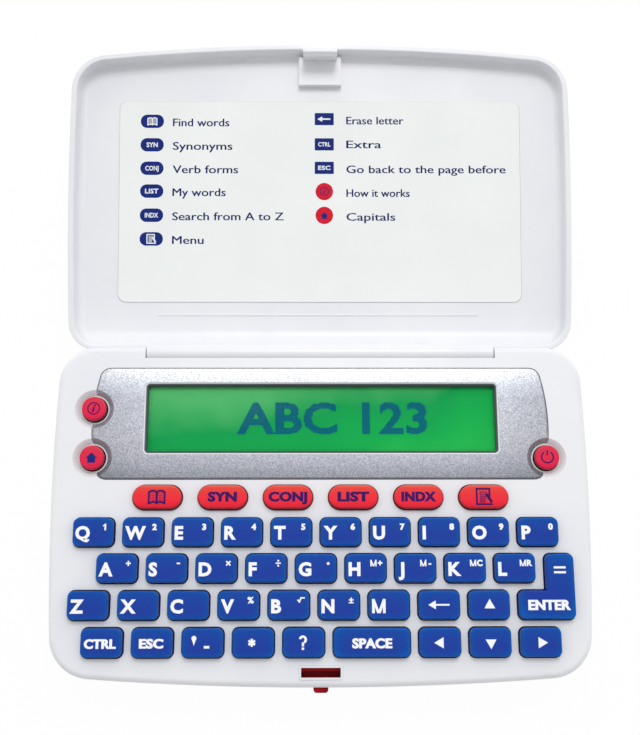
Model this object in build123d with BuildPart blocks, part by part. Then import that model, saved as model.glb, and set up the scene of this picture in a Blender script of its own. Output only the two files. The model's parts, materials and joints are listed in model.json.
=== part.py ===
from build123d import *
from math import cos, radians, sin
import os

# A pocket electronic dictionary with its lid open at the stop. +X runs to the user's right,
# +Y to the hinge and +Z up. The origin is the centre of the flat underside of the case.
# Lengths are millimetres and angles are degrees.

# Base case
CASE_HALF_WIDTH = 69.3
CASE_WIDEST_Y = 8.0
CASE_REAR_HALF_WIDTH = 68.35
CASE_FRONT_HALF_WIDTH = 67.3
CASE_FRONT_BOW = 2.8
CASE_DEPTH = 87.0
DECK_Z = 17.0
DECK_THICKNESS = 1.8
WALL = 1.7
FLOOR_THICKNESS = 1.6
PARTING_Z = 9.0
CASE_DRAFT = 4.0
CASE_TOP_EDGE = 1.6
CASE_BOTTOM_EDGE = 2.0
LIP_INSET = 2.45
LIP_THICKNESS = 0.8
LIP_FOOT_Z = 5.0
LIP_TOP_Z = 9.9
LIP_REAR_CUT_HALF = 53.0
LIP_REAR_CUT_Y = 36.5
LIP_BOSS_CUT_HALF = 2.5
FRONT_CORNER = 11.0
REAR_CORNER = 10.0

# Keyboard
KEY_PITCH = 12.5
ROW_PITCH = 9.05
PILL_ROW_GAP = 8.85
BOTTOM_ROW_Y = -32.55
CAP_WIDTH = 10.35
CAP_DEPTH = 7.25
CAP_CORNER = 1.6
CAP_HEIGHT = 2.2
CAP_DRAFT = 4.0
CAP_EDGE = 0.4
SPACE_WIDTH = 19.15
PILL_LENGTH = 12.6
PILL_DEPTH = 6.2
PILL_PITCH = 16.67
PILL_HEIGHT = 1.8
ROUND_RADIUS = 3.2
ROUND_HEIGHT = 1.0
KEY_GAP = 0.25
KEY_TRAVEL = 1.2
FLANGE_REACH = 0.75
FLANGE_THICKNESS = 0.8
FLANGE_PLAY = 0.05
FLANGE_CORNER = 1.0
PILL_FLANGE_TRIM = 1.4

# Conical dishes around the three round buttons
DISH_RADIUS = 5.1
DISH_FLOOR_RADIUS = 3.7
DISH_DEPTH = 1.15
DISH_BOSS_RADIUS = 5.7
DISH_BOSS_Z = 14.4

# Screen
BEZEL_THICKNESS = 1.2
BEZEL_PROUD = 0.2
BEZEL_GAP = 0.2
BEZEL_FRONT_Y = 8.2
BEZEL_REAR_Y = 37.4
BEZEL_FRONT_HALF_WIDTH = 57.3
BEZEL_HALF_WIDTH = 59.2
BEZEL_WIDEST_Y = 21.0
BEZEL_REAR_HALF_WIDTH = 57.0
BEZEL_CORNER = 2.8
BEZEL_EDGE = 0.45
WINDOW_WIDTH = 90.5
WINDOW_DEPTH = 17.1
WINDOW_X = 0.3
WINDOW_Y = 24.1
WINDOW_CORNER = 0.4
WINDOW_SLOPE_WIDTH = 0.85
WINDOW_SLOPE_HEIGHT = 1.0
LENS_MARGIN = 2.6
LENS_GAP = 0.2
LENS_CORNER = 0.8
LENS_THICKNESS = 0.8
REFLECTOR_MARGIN = 1.5
GLASS_MARGIN = 0.9
GLASS_THICKNESS = 0.7
LCD_THICKNESS = 1.8

# Lid and hinge
OPEN_ANGLE = 170.5
HINGE_Y = 41.9
HINGE_Z = 14.6
BARREL_RADIUS = 2.6
BARREL_HALF_LENGTH = 45.8
PIN_RADIUS = 0.95
PIN_LENGTH = 4.0
PIN_GAP = 0.05
PIN_END_GAP = 0.5
BARREL_END_GAP = 0.3
POCKET_GAP = 0.3
POCKET_FRONT = 0.9
POCKET_DROP = 4.4
BEAM_HALF_LENGTH = 52.5
BEAM_FRONT_Y = 37.4
BEAM_REAR_Y = 42.4
LID_HALF_WIDTH = 68.35
LID_WIDEST = 42.0
LID_END_HALF_WIDTH = 67.5
LID_FRONT_BOW = 3.9
LID_REAR = 1.15
LID_FRONT = 85.4
LID_RIM = -2.65
LID_SKIN = -9.6
LID_FLOOR = -7.7
LID_WALL = 1.5
LID_DRAFT = 4.0
LID_CORNER = 10.0
LID_HINGE_CORNER = 8.0
LID_INNER_FILLET = 1.8
LID_COVE = 4.6
LID_RIM_EDGE = 0.35
LID_EDGE = 2.5
HINGE_WEB = (-0.6, 1.45, -3.6, -1.0)
PLATE_WIDTH = 110.7
PLATE_REAR = 14.9
PLATE_FRONT = 70.9
PLATE_THICKNESS = 0.5
PLATE_RECESS = 0.3
PLATE_CORNER = 2.2

# Latch: a hook on the lid drops through a slot in the deck and catches under a slider
SLOT_Y = -39.8
SLOT_WIDTH = 9.8
SLOT_DEPTH = 2.35
SLOT_RIM_WIDTH = 0.6
SLOT_RIM_HEIGHT = 0.3
SLOT_RIM_EDGE = 0.15
HOOK_WIDTH = 9.2
HOOK_FACE = 82.6
HOOK_PLATE = 0.8
HOOK_NOSE = 0.9
HOOK_TIP = 1.6
HOOK_CATCH = 0.1
HOOK_BLOCK = -5.5
HOOK_BACKING = -3.2
SLIDER_TOP_Z = 15.6
SLIDER_THICKNESS = 0.9
SLIDER_LEDGE_Y = -39.45
SLIDER_FRONT_Y = -42.35
SLIDER_REAR_Y = -37.7
SLIDER_HALF_WIDTH = 8.0
SLIDER_WINDOW_HALF = 5.2
SLIDER_TRAY_Z = 12.0
SLIDER_ARM_REACH = 16.0
BUTTON_WIDTH = 3.7
BUTTON_FRONT_Y = -44.7
BUTTON_CORNER = 0.8
BUTTON_LOW_Z = 12.3
BUTTON_TOP_Z = 15.2
BUTTON_GAP = 0.3
TRAY_HALF_WIDTH = 6.0
TRAY_REAR_Y = -38.3
TRAY_FLOOR = 0.6
LEDGE_HOLLOW_REAR_Y = -38.9
ARM_FRONT_Y = -41.3
ARM_REAR_Y = -40.7
LATCH_BAY_HALF = 18.0
LATCH_BAY_FRONT_Y = -42.6
LATCH_BAY_REAR_Y = -36.6
LATCH_BAY_Z = 12.0
RAIL_OUTER = 9.6
RAIL_INNER = 8.3
RAIL_LIP_INNER = 7.0
RAIL_FRONT_Y = -39.6
RAIL_Z = 13.2
RAIL_LIP_TOP_Z = 14.4
HOOK_BLOCK_HALF = 5.8
HOOK_BLOCK_REAR = 75.0

# Electronics, cells and fasteners
BOARD_Z = 10.0
BOARD_THICKNESS = 1.6
BOARD_CORNER = 8.0
BOARD_WIDTH = 131.0
BOARD_DEPTH = 46.0
BOARD_Y = -14.5
BOARD_ARM_WIDTH = 11.4
BOARD_ARM_DEPTH = 24.0
BOARD_ARM_X = 59.5
BOARD_ARM_Y = 18.0
BOARD_NOTCH_RADIUS = 3.0
CHIPS = (((-22, -20), (-8, -6), 1.4), ((6, -18), (24, -8), 1.2), ((36, -26), (44, -14), 2.5))
SWITCH_RADIUS = 2.5
SWITCH_HEIGHT = 0.5
CONTACT_THICKNESS = 0.4
CONTACT_HALF_WIDTH = 4.5
CONTACT_LOW_Z = 3.0
CONTACT_TOP_Z = 11.5
SPRING_RADIUS = 2.6
MAT_WIDTH = 130.0
MAT_DEPTH = 45.0
MAT_Y = -14.4
MAT_THICKNESS = 0.8
MAT_POST_HOLE_RADIUS = 1.8
DOME_RADIUS = 2.6
CELL_RADIUS = 5.2
CELL_LENGTH = 43.5
CELL_NUB = 1.0
CELL_NUB_RADIUS = 1.9
CELL_PLAY = 0.05
CELL_X = 4.0
CELL_Y = 23.3
CELL_Z = 7.1
DOOR_HALF_WIDTH = 49.0
DOOR_FRONT_Y = 16.0
DOOR_GAP = 0.3
DOOR_TONGUE = 1.0
DOOR_TONGUE_Z = 0.8
GROOVE_COUNT = 4
GROOVE_START = 7.0
GROOVE_PITCH = 1.8
GROOVE_WIDTH = 0.9
GROOVE_HALF_LENGTH = 9.0
GROOVE_DEPTH = 0.4
BAY_GAP = 0.6
BAY_WALL = 1.2
BAY_FRONT_Y = 14.2
BAY_REAR_Y = 31.2
BAY_SIDE_REAR_Y = 36.0
BAY_TOP_Z = 12.6
SCREW_HEAD_RADIUS = 1.5
SCREW_SHAFT_RADIUS = 0.85
SCREW_RECESS_DEPTH = 2.6
SCREW_LENGTH = 10.0
SCREW_HEAD_HEIGHT = 1.1
SCREW_BITE = 4.2
SCREW_CROSS_LENGTH = 1.9
SCREW_CROSS_WIDTH = 0.4
SCREW_CROSS_DEPTH = 0.6
LOWER_BOSS_RADIUS = 2.6
REAR_BOSS_RADIUS = 2.4
FRONT_BOSS_RADIUS = 1.9
FRONT_BOSS_HEIGHT = 5.0
FRONT_BOSS_RIB = 1.4
POST_RADIUS = 1.3
REAR_SCREWS = ((-61.5, 36.6), (61.5, 36.6))
FRONT_SCREWS = ((-34.0, -38.2), (34.0, -38.2))
BOARD_POSTS = ((-56.0, 3.4), (56.0, 3.4), (-62.0, -13.5), (65.3, -4.0))
FOOT_PLACES = ((-56.0, -30.0), (56.0, -30.0), (-56.5, 26.0), (56.5, 26.0))
FOOT_RADIUS = 3.5
FOOT_SEAT_DEPTH = 0.6

# Levels that follow from the dimensions above
DECK_UNDER_Z = DECK_Z - DECK_THICKNESS
CAVITY_INSET = WALL + 0.15
BEZEL_Z = DECK_Z + BEZEL_PROUD - BEZEL_THICKNESS
FLANGE_Z = DECK_UNDER_Z - FLANGE_PLAY - FLANGE_THICKNESS
ROUND_FLANGE_Z = DISH_BOSS_Z - FLANGE_PLAY - FLANGE_THICKNESS
BOARD_TOP_Z = BOARD_Z + BOARD_THICKNESS
DOME_TOP_Z = FLANGE_Z - KEY_TRAVEL - 0.15
LCD_Z = BEZEL_Z - LENS_THICKNESS - LCD_THICKNESS - 0.1

# Row and key positions
Z_ROW_Y = BOTTOM_ROW_Y + ROW_PITCH
A_ROW_Y = Z_ROW_Y + ROW_PITCH
Q_ROW_Y = A_ROW_Y + ROW_PITCH
PILL_ROW_Y = Q_ROW_Y + PILL_ROW_GAP
KEY_RUNS = (
    ("q w e r t y u i o p", -57.45, Q_ROW_Y),
    ("a s d f g h j k l", -51.2, A_ROW_Y),
    ("z x c v b n m backspace up", -58.0, Z_ROW_Y),
    ("ctrl esc apostrophe asterisk question", -54.25, BOTTOM_ROW_Y),
    ("left down right", 29.5, BOTTOM_ROW_Y),
)
KEYS = {
    f"key_{name}": (first_x + KEY_PITCH * step, row_y)
    for names, first_x, row_y in KEY_RUNS
    for step, name in enumerate(names.split())
}
SPACE_PLACE = (12.65, BOTTOM_ROW_Y)
PILL_NAMES = ("dictionary", "synonym", "conjugation", "list", "index", "menu")
PILLS = {
    f"pill_{name}": (PILL_PITCH * (step - 2.5), PILL_ROW_Y) for step, name in enumerate(PILL_NAMES)
}
ROUND_BUTTONS = {
    "button_info": (-58.9, 26.5),
    "button_shift": (-58.9, 13.7),
    "button_power": (58.5, 13.7),
}

# The enter key is an L: a wide foot in the Z row and a narrow leg up the right of the A row
ENTER_RIGHT = 63.65
ENTER_LEFT = 49.35
ENTER_LEG_LEFT = 56.35
ENTER_NOTCH_CORNER = 0.3
ENTER_BOTTOM = Z_ROW_Y - CAP_DEPTH / 2
ENTER_STEP = Z_ROW_Y + CAP_DEPTH / 2
ENTER_TOP = A_ROW_Y + CAP_DEPTH / 2

# The lid's own plane: x along the hinge, y away from it, z out of the inner face
LID_TILT = 180 - OPEN_ANGLE
LID_PLANE = Plane(
    origin=(0, HINGE_Y, HINGE_Z),
    x_dir=(1, 0, 0),
    z_dir=(0, -sin(radians(LID_TILT)), cos(radians(LID_TILT))),
)
LID_NORMAL = Axis(LID_PLANE.origin, LID_PLANE.z_dir)
HOOK_PLANE = Plane(origin=LID_PLANE.origin, x_dir=LID_PLANE.y_dir, z_dir=(1, 0, 0))

os.makedirs("parts", exist_ok=True)


def save(part, name):
    """Label a finished piece and write it to its own file."""
    part.label = name
    export_step(part, f"parts/{name}.step")


def case_outline(inset=0.0):
    """Plan of the case: bowed sides and front, straight rear, four rounded corners."""
    rear = CASE_DEPTH / 2 - inset
    rear_x = CASE_REAR_HALF_WIDTH - inset
    front_x = CASE_FRONT_HALF_WIDTH - inset
    side_x = CASE_HALF_WIDTH - inset
    front = inset - CASE_DEPTH / 2
    corner_y = front + CASE_FRONT_BOW
    with BuildSketch() as outline:
        with BuildLine():
            ThreePointArc((front_x, corner_y), (side_x, CASE_WIDEST_Y), (rear_x, rear))
            Line((rear_x, rear), (-rear_x, rear))
            ThreePointArc((-rear_x, rear), (-side_x, CASE_WIDEST_Y), (-front_x, corner_y))
            ThreePointArc((-front_x, corner_y), (0, front), (front_x, corner_y))
        make_face()
        fillet(outline.vertices().group_by(Axis.Y)[-1], REAR_CORNER - inset)
        fillet(outline.vertices().group_by(Axis.Y)[0], FRONT_CORNER - inset)
    return outline.sketch


def case_block():
    """The whole base as one solid, narrower at the bottom, with rounded top and bottom edges."""
    with BuildPart() as block:
        with BuildSketch(Plane.XY.offset(DECK_Z)):
            add(case_outline())
        extrude(amount=-DECK_Z)
        draft(block.faces().filter_by(Axis.Z, reverse=True), Plane.XY.offset(DECK_Z), -CASE_DRAFT)
        fillet(block.faces().sort_by(Axis.Z)[-1].edges(), CASE_TOP_EDGE)
        fillet(block.faces().sort_by(Axis.Z)[0].edges(), CASE_BOTTOM_EDGE)
    return block.part


def case_cavity():
    """The hollow inside the base, from the floor to the underside of the deck."""
    under_deck = Plane.XY.offset(DECK_UNDER_Z)
    with BuildPart() as cavity:
        with BuildSketch(under_deck):
            add(case_outline(CAVITY_INSET))
        extrude(amount=FLOOR_THICKNESS - DECK_UNDER_Z)
        draft(cavity.faces().filter_by(Axis.Z, reverse=True), under_deck, -CASE_DRAFT)
    return cavity.part


def enter_outline(grow=0.0):
    """Plan of the L-shaped enter key, grown by a clearance for its hole."""
    notch = (ENTER_LEG_LEFT, ENTER_STEP)
    with BuildSketch() as outline:
        with BuildLine():
            Polyline(
                (ENTER_LEFT, ENTER_BOTTOM),
                (ENTER_RIGHT, ENTER_BOTTOM),
                (ENTER_RIGHT, ENTER_TOP),
                (ENTER_LEG_LEFT, ENTER_TOP),
                (ENTER_LEG_LEFT, ENTER_STEP),
                (ENTER_LEFT, ENTER_STEP),
                close=True,
            )
        make_face()
        fillet(outline.vertices().sort_by_distance(notch)[1:], CAP_CORNER)
        fillet(outline.vertices().sort_by_distance(notch)[0], ENTER_NOTCH_CORNER)
        if grow:
            offset(amount=grow)
    return outline.sketch


def bezel_outline(grow=0.0):
    """Plan of the screen surround: straight front and rear, sides that bulge outward."""
    front_x = BEZEL_FRONT_HALF_WIDTH
    side_x = BEZEL_HALF_WIDTH
    rear_x = BEZEL_REAR_HALF_WIDTH
    with BuildSketch() as outline:
        with BuildLine():
            ThreePointArc((front_x, BEZEL_FRONT_Y), (side_x, BEZEL_WIDEST_Y), (rear_x, BEZEL_REAR_Y))
            Line((rear_x, BEZEL_REAR_Y), (-rear_x, BEZEL_REAR_Y))
            ThreePointArc((-rear_x, BEZEL_REAR_Y), (-side_x, BEZEL_WIDEST_Y), (-front_x, BEZEL_FRONT_Y))
            Line((-front_x, BEZEL_FRONT_Y), (front_x, BEZEL_FRONT_Y))
        make_face()
        fillet(outline.vertices(), BEZEL_CORNER)
        if grow:
            offset(amount=grow)
    return outline.sketch


def lid_outline(inset=0.0):
    """Plan of the lid in its own plane, with the hinge side at y = LID_REAR."""
    end_x = LID_END_HALF_WIDTH
    front_side = LID_FRONT - LID_FRONT_BOW
    with BuildSketch() as outline:
        with BuildLine():
            ThreePointArc((end_x, LID_REAR), (LID_HALF_WIDTH, LID_WIDEST), (end_x, front_side))
            ThreePointArc((end_x, front_side), (0, LID_FRONT), (-end_x, front_side))
            ThreePointArc((-end_x, front_side), (-LID_HALF_WIDTH, LID_WIDEST), (-end_x, LID_REAR))
            Line((-end_x, LID_REAR), (end_x, LID_REAR))
        make_face()
        fillet(outline.vertices().group_by(Axis.Y)[0], LID_HINGE_CORNER)
        fillet(outline.vertices().group_by(Axis.Y)[-1], LID_CORNER)
        if inset:
            offset(amount=-inset)
    return outline.sketch


def dish_cones():
    """The conical dishes, cut from the deck and from the screen surround alike."""
    with BuildPart() as cones:
        for x, y in ROUND_BUTTONS.values():
            with Locations((x, y, DECK_Z - DISH_DEPTH)):
                Cone(
                    DISH_FLOOR_RADIUS,
                    DISH_RADIUS,
                    DISH_DEPTH,
                    align=(Align.CENTER, Align.CENTER, Align.MIN),
                )
            with Locations((x, y, DECK_Z)):
                Cylinder(DISH_RADIUS, 2, align=(Align.CENTER, Align.CENTER, Align.MIN))
    return cones.part


def block_between(low, high, mode=Mode.ADD):
    """A box from its lowest corner to its highest, for the builder that calls it."""
    size = [top - bottom for bottom, top in zip(low, high)]
    centre = tuple((bottom + top) / 2 for bottom, top in zip(low, high))
    with Locations(centre):
        return Box(*size, mode=mode)


def door_block(gap=0.0):
    """The battery door's slab with its side tongues, grown by a gap for its opening."""
    half = DOOR_HALF_WIDTH + gap
    front = DOOR_FRONT_Y - gap
    with BuildPart() as door:
        block_between((-half, front, -1), (half, CASE_DEPTH / 2 + 1, FLOOR_THICKNESS + gap))
        block_between(
            (-half - DOOR_TONGUE, front, DOOR_TONGUE_Z - gap / 2),
            (half + DOOR_TONGUE, CASE_DEPTH / 2 + 1, FLOOR_THICKNESS + gap),
        )
    return door.part


def upper_case():
    """Deck and upper walls, with every opening for keys, screen, hinge and latch."""
    pocket_half = BARREL_HALF_LENGTH + BARREL_END_GAP
    bore_half = BARREL_HALF_LENGTH + PIN_LENGTH + PIN_END_GAP
    lens_room = 2 * (LENS_MARGIN + LENS_GAP)
    with BuildPart() as upper:
        add(case_block())
        split(bisect_by=Plane.XY.offset(PARTING_Z), keep=Keep.TOP)
        add(case_cavity(), mode=Mode.SUBTRACT)

        # Stiff beam along the rear that carries the hinge pocket and both pin bores
        block_between(
            (-BEAM_HALF_LENGTH, BEAM_FRONT_Y, PARTING_Z), (BEAM_HALF_LENGTH, BEAM_REAR_Y, DECK_UNDER_Z + 0.5)
        )
        with Locations(Plane.YZ.offset(-pocket_half)):
            with Locations((HINGE_Y, HINGE_Z)):
                Cylinder(
                    BARREL_RADIUS + POCKET_GAP,
                    2 * pocket_half,
                    align=(Align.CENTER, Align.CENTER, Align.MIN),
                    mode=Mode.SUBTRACT,
                )
        block_between(
            (-pocket_half, HINGE_Y - POCKET_FRONT, HINGE_Z - POCKET_DROP),
            (pocket_half, CASE_DEPTH / 2 + 1, DECK_Z + 1),
            mode=Mode.SUBTRACT,
        )
        with Locations(Plane.YZ.offset(-bore_half)):
            with Locations((HINGE_Y, HINGE_Z)):
                Cylinder(
                    PIN_RADIUS + PIN_GAP,
                    2 * bore_half,
                    align=(Align.CENTER, Align.CENTER, Align.MIN),
                    mode=Mode.SUBTRACT,
                )

        # Bosses around the round buttons, then the dishes and their holes
        with BuildSketch(Plane.XY.offset(DISH_BOSS_Z)):
            with Locations(*ROUND_BUTTONS.values()):
                Circle(DISH_BOSS_RADIUS)
        extrude(amount=DECK_UNDER_Z - DISH_BOSS_Z + 0.1)

        # Recess and opening for the screen surround and its window
        with BuildSketch(Plane.XY.offset(BEZEL_Z)):
            add(bezel_outline(BEZEL_GAP))
        extrude(amount=2, mode=Mode.SUBTRACT)
        with BuildSketch(Plane.XY.offset(BEZEL_Z)):
            with Locations((WINDOW_X, WINDOW_Y)):
                Rectangle(lens_room + WINDOW_WIDTH, lens_room + WINDOW_DEPTH)
        extrude(amount=-DECK_THICKNESS, mode=Mode.SUBTRACT)
        add(dish_cones(), mode=Mode.SUBTRACT)

        # Holes for the caps
        with BuildSketch(Plane.XY.offset(DECK_Z + 1)):
            with Locations(*KEYS.values()):
                RectangleRounded(
                    CAP_WIDTH + 2 * KEY_GAP, CAP_DEPTH + 2 * KEY_GAP, CAP_CORNER + KEY_GAP
                )
            with Locations(SPACE_PLACE):
                RectangleRounded(
                    SPACE_WIDTH + 2 * KEY_GAP, CAP_DEPTH + 2 * KEY_GAP, CAP_CORNER + KEY_GAP
                )
            with Locations(*PILLS.values()):
                SlotOverall(PILL_LENGTH + 2 * KEY_GAP, PILL_DEPTH + 2 * KEY_GAP)
            with Locations(*ROUND_BUTTONS.values()):
                Circle(ROUND_RADIUS + KEY_GAP)
            add(enter_outline(KEY_GAP))
        extrude(amount=-(DECK_Z + 1 - DISH_BOSS_Z), mode=Mode.SUBTRACT)

        # Latch: raised rim around the slot, thinner deck and front wall behind it, two lipped rails
        with BuildSketch(Plane.XY.offset(DECK_Z)):
            with Locations((0, SLOT_Y)):
                RectangleRounded(
                    SLOT_WIDTH + 2 * SLOT_RIM_WIDTH, SLOT_DEPTH + 2 * SLOT_RIM_WIDTH, SLOT_RIM_WIDTH
                )
        extrude(amount=SLOT_RIM_HEIGHT)
        chamfer(upper.faces().sort_by(Axis.Z)[-1].edges(), SLOT_RIM_EDGE)
        bay_rear = LATCH_BAY_REAR_Y
        block_between(
            (-LATCH_BAY_HALF, LATCH_BAY_FRONT_Y, LATCH_BAY_Z),
            (LATCH_BAY_HALF, bay_rear, DECK_UNDER_Z),
            mode=Mode.SUBTRACT,
        )
        block_between(
            (-RAIL_OUTER, LATCH_BAY_FRONT_Y, LATCH_BAY_Z),
            (RAIL_OUTER, bay_rear, SLIDER_TOP_Z + 0.2),
            mode=Mode.SUBTRACT,
        )
        for side in (-1, 1):
            low_x, high_x = sorted((side * RAIL_INNER, side * RAIL_OUTER))
            block_between((low_x, RAIL_FRONT_Y, RAIL_Z), (high_x, bay_rear, DECK_UNDER_Z + 0.7))
            low_x, high_x = sorted((side * RAIL_LIP_INNER, side * (RAIL_INNER + 0.1)))
            block_between((low_x, RAIL_FRONT_Y, RAIL_Z), (high_x, bay_rear, RAIL_LIP_TOP_Z))
        with BuildSketch(Plane.XY.offset(DECK_Z + 1)):
            with Locations((0, SLOT_Y)):
                Rectangle(SLOT_WIDTH, SLOT_DEPTH)
        extrude(amount=-DECK_THICKNESS - 1, mode=Mode.SUBTRACT)
        button_half = BUTTON_WIDTH / 2 + BUTTON_GAP
        block_between(
            (-button_half, BUTTON_FRONT_Y - BUTTON_GAP, BUTTON_LOW_Z - BUTTON_GAP),
            (button_half, ARM_FRONT_Y + BUTTON_GAP, BUTTON_TOP_Z + BUTTON_GAP),
            mode=Mode.SUBTRACT,
        )

        # Screw bosses and the posts that press on the board
        for x, y in REAR_SCREWS:
            with Locations((x, y, PARTING_Z)):
                Cylinder(
                    REAR_BOSS_RADIUS,
                    DECK_UNDER_Z - PARTING_Z + 0.1,
                    align=(Align.CENTER, Align.CENTER, Align.MIN),
                )
        for x, y in FRONT_SCREWS:
            with Locations((x, y, PARTING_Z)):
                Cylinder(
                    FRONT_BOSS_RADIUS, FRONT_BOSS_HEIGHT, align=(Align.CENTER, Align.CENTER, Align.MIN)
                )
            block_between(
                (x - FRONT_BOSS_RIB / 2, -42.0, PARTING_Z),
                (x + FRONT_BOSS_RIB / 2, y - 1.2, PARTING_Z + FRONT_BOSS_HEIGHT),
            )
        for x, y in REAR_SCREWS + FRONT_SCREWS:
            with Locations((x, y, PARTING_Z)):
                Cylinder(
                    SCREW_SHAFT_RADIUS + 0.05,
                    SCREW_BITE,
                    align=(Align.CENTER, Align.CENTER, Align.MIN),
                    mode=Mode.SUBTRACT,
                )
        for x, y in BOARD_POSTS:
            with Locations((x, y, BOARD_TOP_Z)):
                Cylinder(
                    POST_RADIUS,
                    DECK_UNDER_Z - BOARD_TOP_Z + 0.1,
                    align=(Align.CENTER, Align.CENTER, Align.MIN),
                )
    save(upper.part, "upper_case")
    return upper.part


def lower_case():
    """Floor and lower walls, with the cell bay, the door's opening and the screw bosses."""
    with BuildPart() as lower:
        add(case_block())
        split(bisect_by=Plane.XY.offset(PARTING_Z), keep=Keep.BOTTOM)
        add(case_cavity(), mode=Mode.SUBTRACT)

        # Lip that locates the upper half; it grows out of the drafted wall below the parting line
        with BuildSketch(Plane.XY.offset(LIP_FOOT_Z)):
            add(case_outline(LIP_INSET))
            add(case_outline(LIP_INSET + LIP_THICKNESS), mode=Mode.SUBTRACT)
        extrude(amount=LIP_TOP_Z - LIP_FOOT_Z)
        block_between(
            (-LIP_REAR_CUT_HALF, LIP_REAR_CUT_Y, PARTING_Z),
            (LIP_REAR_CUT_HALF, CASE_DEPTH / 2, LIP_TOP_Z + 1),
            mode=Mode.SUBTRACT,
        )
        for x, y in FRONT_SCREWS:
            block_between(
                (x - LIP_BOSS_CUT_HALF, -CASE_DEPTH / 2, PARTING_Z),
                (x + LIP_BOSS_CUT_HALF, y + LIP_BOSS_CUT_HALF, LIP_TOP_Z + 1),
                mode=Mode.SUBTRACT,
            )

        # Cell bay walls stand outside the door's opening
        bay_inner = DOOR_HALF_WIDTH + DOOR_TONGUE + BAY_GAP
        bay_outer = bay_inner + BAY_WALL
        bay_low = FLOOR_THICKNESS - 0.1
        for side in (-1, 1):
            low_x, high_x = sorted((side * bay_inner, side * bay_outer))
            block_between((low_x, BAY_FRONT_Y, bay_low), (high_x, BAY_SIDE_REAR_Y, BAY_TOP_Z))
        block_between(
            (-bay_outer, BAY_FRONT_Y, bay_low), (bay_outer, BAY_FRONT_Y + BAY_WALL, BAY_TOP_Z)
        )
        block_between(
            (-bay_outer, BAY_REAR_Y, FLOOR_THICKNESS + 0.5), (bay_outer, BAY_REAR_Y + BAY_WALL, BAY_TOP_Z)
        )
        add(door_block(DOOR_GAP), mode=Mode.SUBTRACT)

        # Screw bosses with their recesses, and four shallow seats for foot pads
        for x, y in REAR_SCREWS + FRONT_SCREWS:
            with Locations((x, y, FLOOR_THICKNESS - 0.1)):
                Cylinder(
                    LOWER_BOSS_RADIUS,
                    PARTING_Z - FLOOR_THICKNESS + 0.1,
                    align=(Align.CENTER, Align.CENTER, Align.MIN),
                )
        for x, y in REAR_SCREWS + FRONT_SCREWS:
            with Locations((x, y, 0)):
                Cylinder(
                    SCREW_HEAD_RADIUS + 0.25,
                    SCREW_RECESS_DEPTH,
                    align=(Align.CENTER, Align.CENTER, Align.MIN),
                    mode=Mode.SUBTRACT,
                )
                Cylinder(
                    SCREW_SHAFT_RADIUS + 0.15,
                    PARTING_Z + 1,
                    align=(Align.CENTER, Align.CENTER, Align.MIN),
                    mode=Mode.SUBTRACT,
                )
        with BuildSketch(Plane.XY):
            with Locations(*FOOT_PLACES):
                Circle(FOOT_RADIUS)
        extrude(amount=FOOT_SEAT_DEPTH, mode=Mode.SUBTRACT)
    save(lower.part, "lower_case")
    return lower.part


def battery_door():
    """Sliding door in the underside, its rear edge following the case's rounded edge."""
    with BuildPart() as door:
        add(case_block())
        add(door_block(), mode=Mode.INTERSECT)
        for step in range(GROOVE_COUNT):
            groove_y = DOOR_FRONT_Y + GROOVE_START + GROOVE_PITCH * step
            block_between(
                (-GROOVE_HALF_LENGTH, groove_y, -1),
                (GROOVE_HALF_LENGTH, groove_y + GROOVE_WIDTH, GROOVE_DEPTH),
                mode=Mode.SUBTRACT,
            )
    save(door.part, "battery_door")
    return door.part


def screen_bezel():
    """Metallic surround set into the deck, with a bevelled window."""
    with BuildPart() as bezel:
        with BuildSketch(Plane.XY.offset(BEZEL_Z)):
            add(bezel_outline())
        extrude(amount=BEZEL_THICKNESS)
        fillet(bezel.faces().sort_by(Axis.Z)[-1].edges(), BEZEL_EDGE)
        with BuildSketch(Plane.XY.offset(BEZEL_Z)):
            with Locations((WINDOW_X, WINDOW_Y)):
                RectangleRounded(WINDOW_WIDTH, WINDOW_DEPTH, WINDOW_CORNER)
        extrude(amount=BEZEL_THICKNESS, mode=Mode.SUBTRACT)
        rim = bezel.faces().sort_by(Axis.Z)[-1].inner_wires()[0].edges()
        chamfer(rim, WINDOW_SLOPE_HEIGHT, WINDOW_SLOPE_WIDTH, reference=bezel.faces().sort_by(Axis.Z)[-1])
        add(dish_cones(), mode=Mode.SUBTRACT)
    save(bezel.part, "screen_bezel")
    return bezel.part


def screen_lens():
    """Clear window behind the surround."""
    with BuildPart() as lens:
        with BuildSketch(Plane.XY.offset(BEZEL_Z - LENS_THICKNESS)):
            with Locations((WINDOW_X, WINDOW_Y)):
                RectangleRounded(
                    WINDOW_WIDTH + 2 * LENS_MARGIN, WINDOW_DEPTH + 2 * LENS_MARGIN, LENS_CORNER
                )
        extrude(amount=LENS_THICKNESS)
    save(lens.part, "screen_lens")
    return lens.part


def lcd_panel():
    """Display glass on its reflector, close under the window."""
    with BuildPart() as lcd:
        with BuildSketch(Plane.XY.offset(LCD_Z)):
            with Locations((WINDOW_X, WINDOW_Y)):
                Rectangle(WINDOW_WIDTH + 2 * REFLECTOR_MARGIN, WINDOW_DEPTH + 2 * REFLECTOR_MARGIN)
        extrude(amount=LCD_THICKNESS - GLASS_THICKNESS)
        with BuildSketch(Plane.XY.offset(LCD_Z + LCD_THICKNESS - GLASS_THICKNESS)):
            with Locations((WINDOW_X, WINDOW_Y)):
                Rectangle(WINDOW_WIDTH + 2 * GLASS_MARGIN, WINDOW_DEPTH + 2 * GLASS_MARGIN)
        extrude(amount=GLASS_THICKNESS)
    save(lcd.part, "lcd_panel")
    return lcd.part


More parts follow.
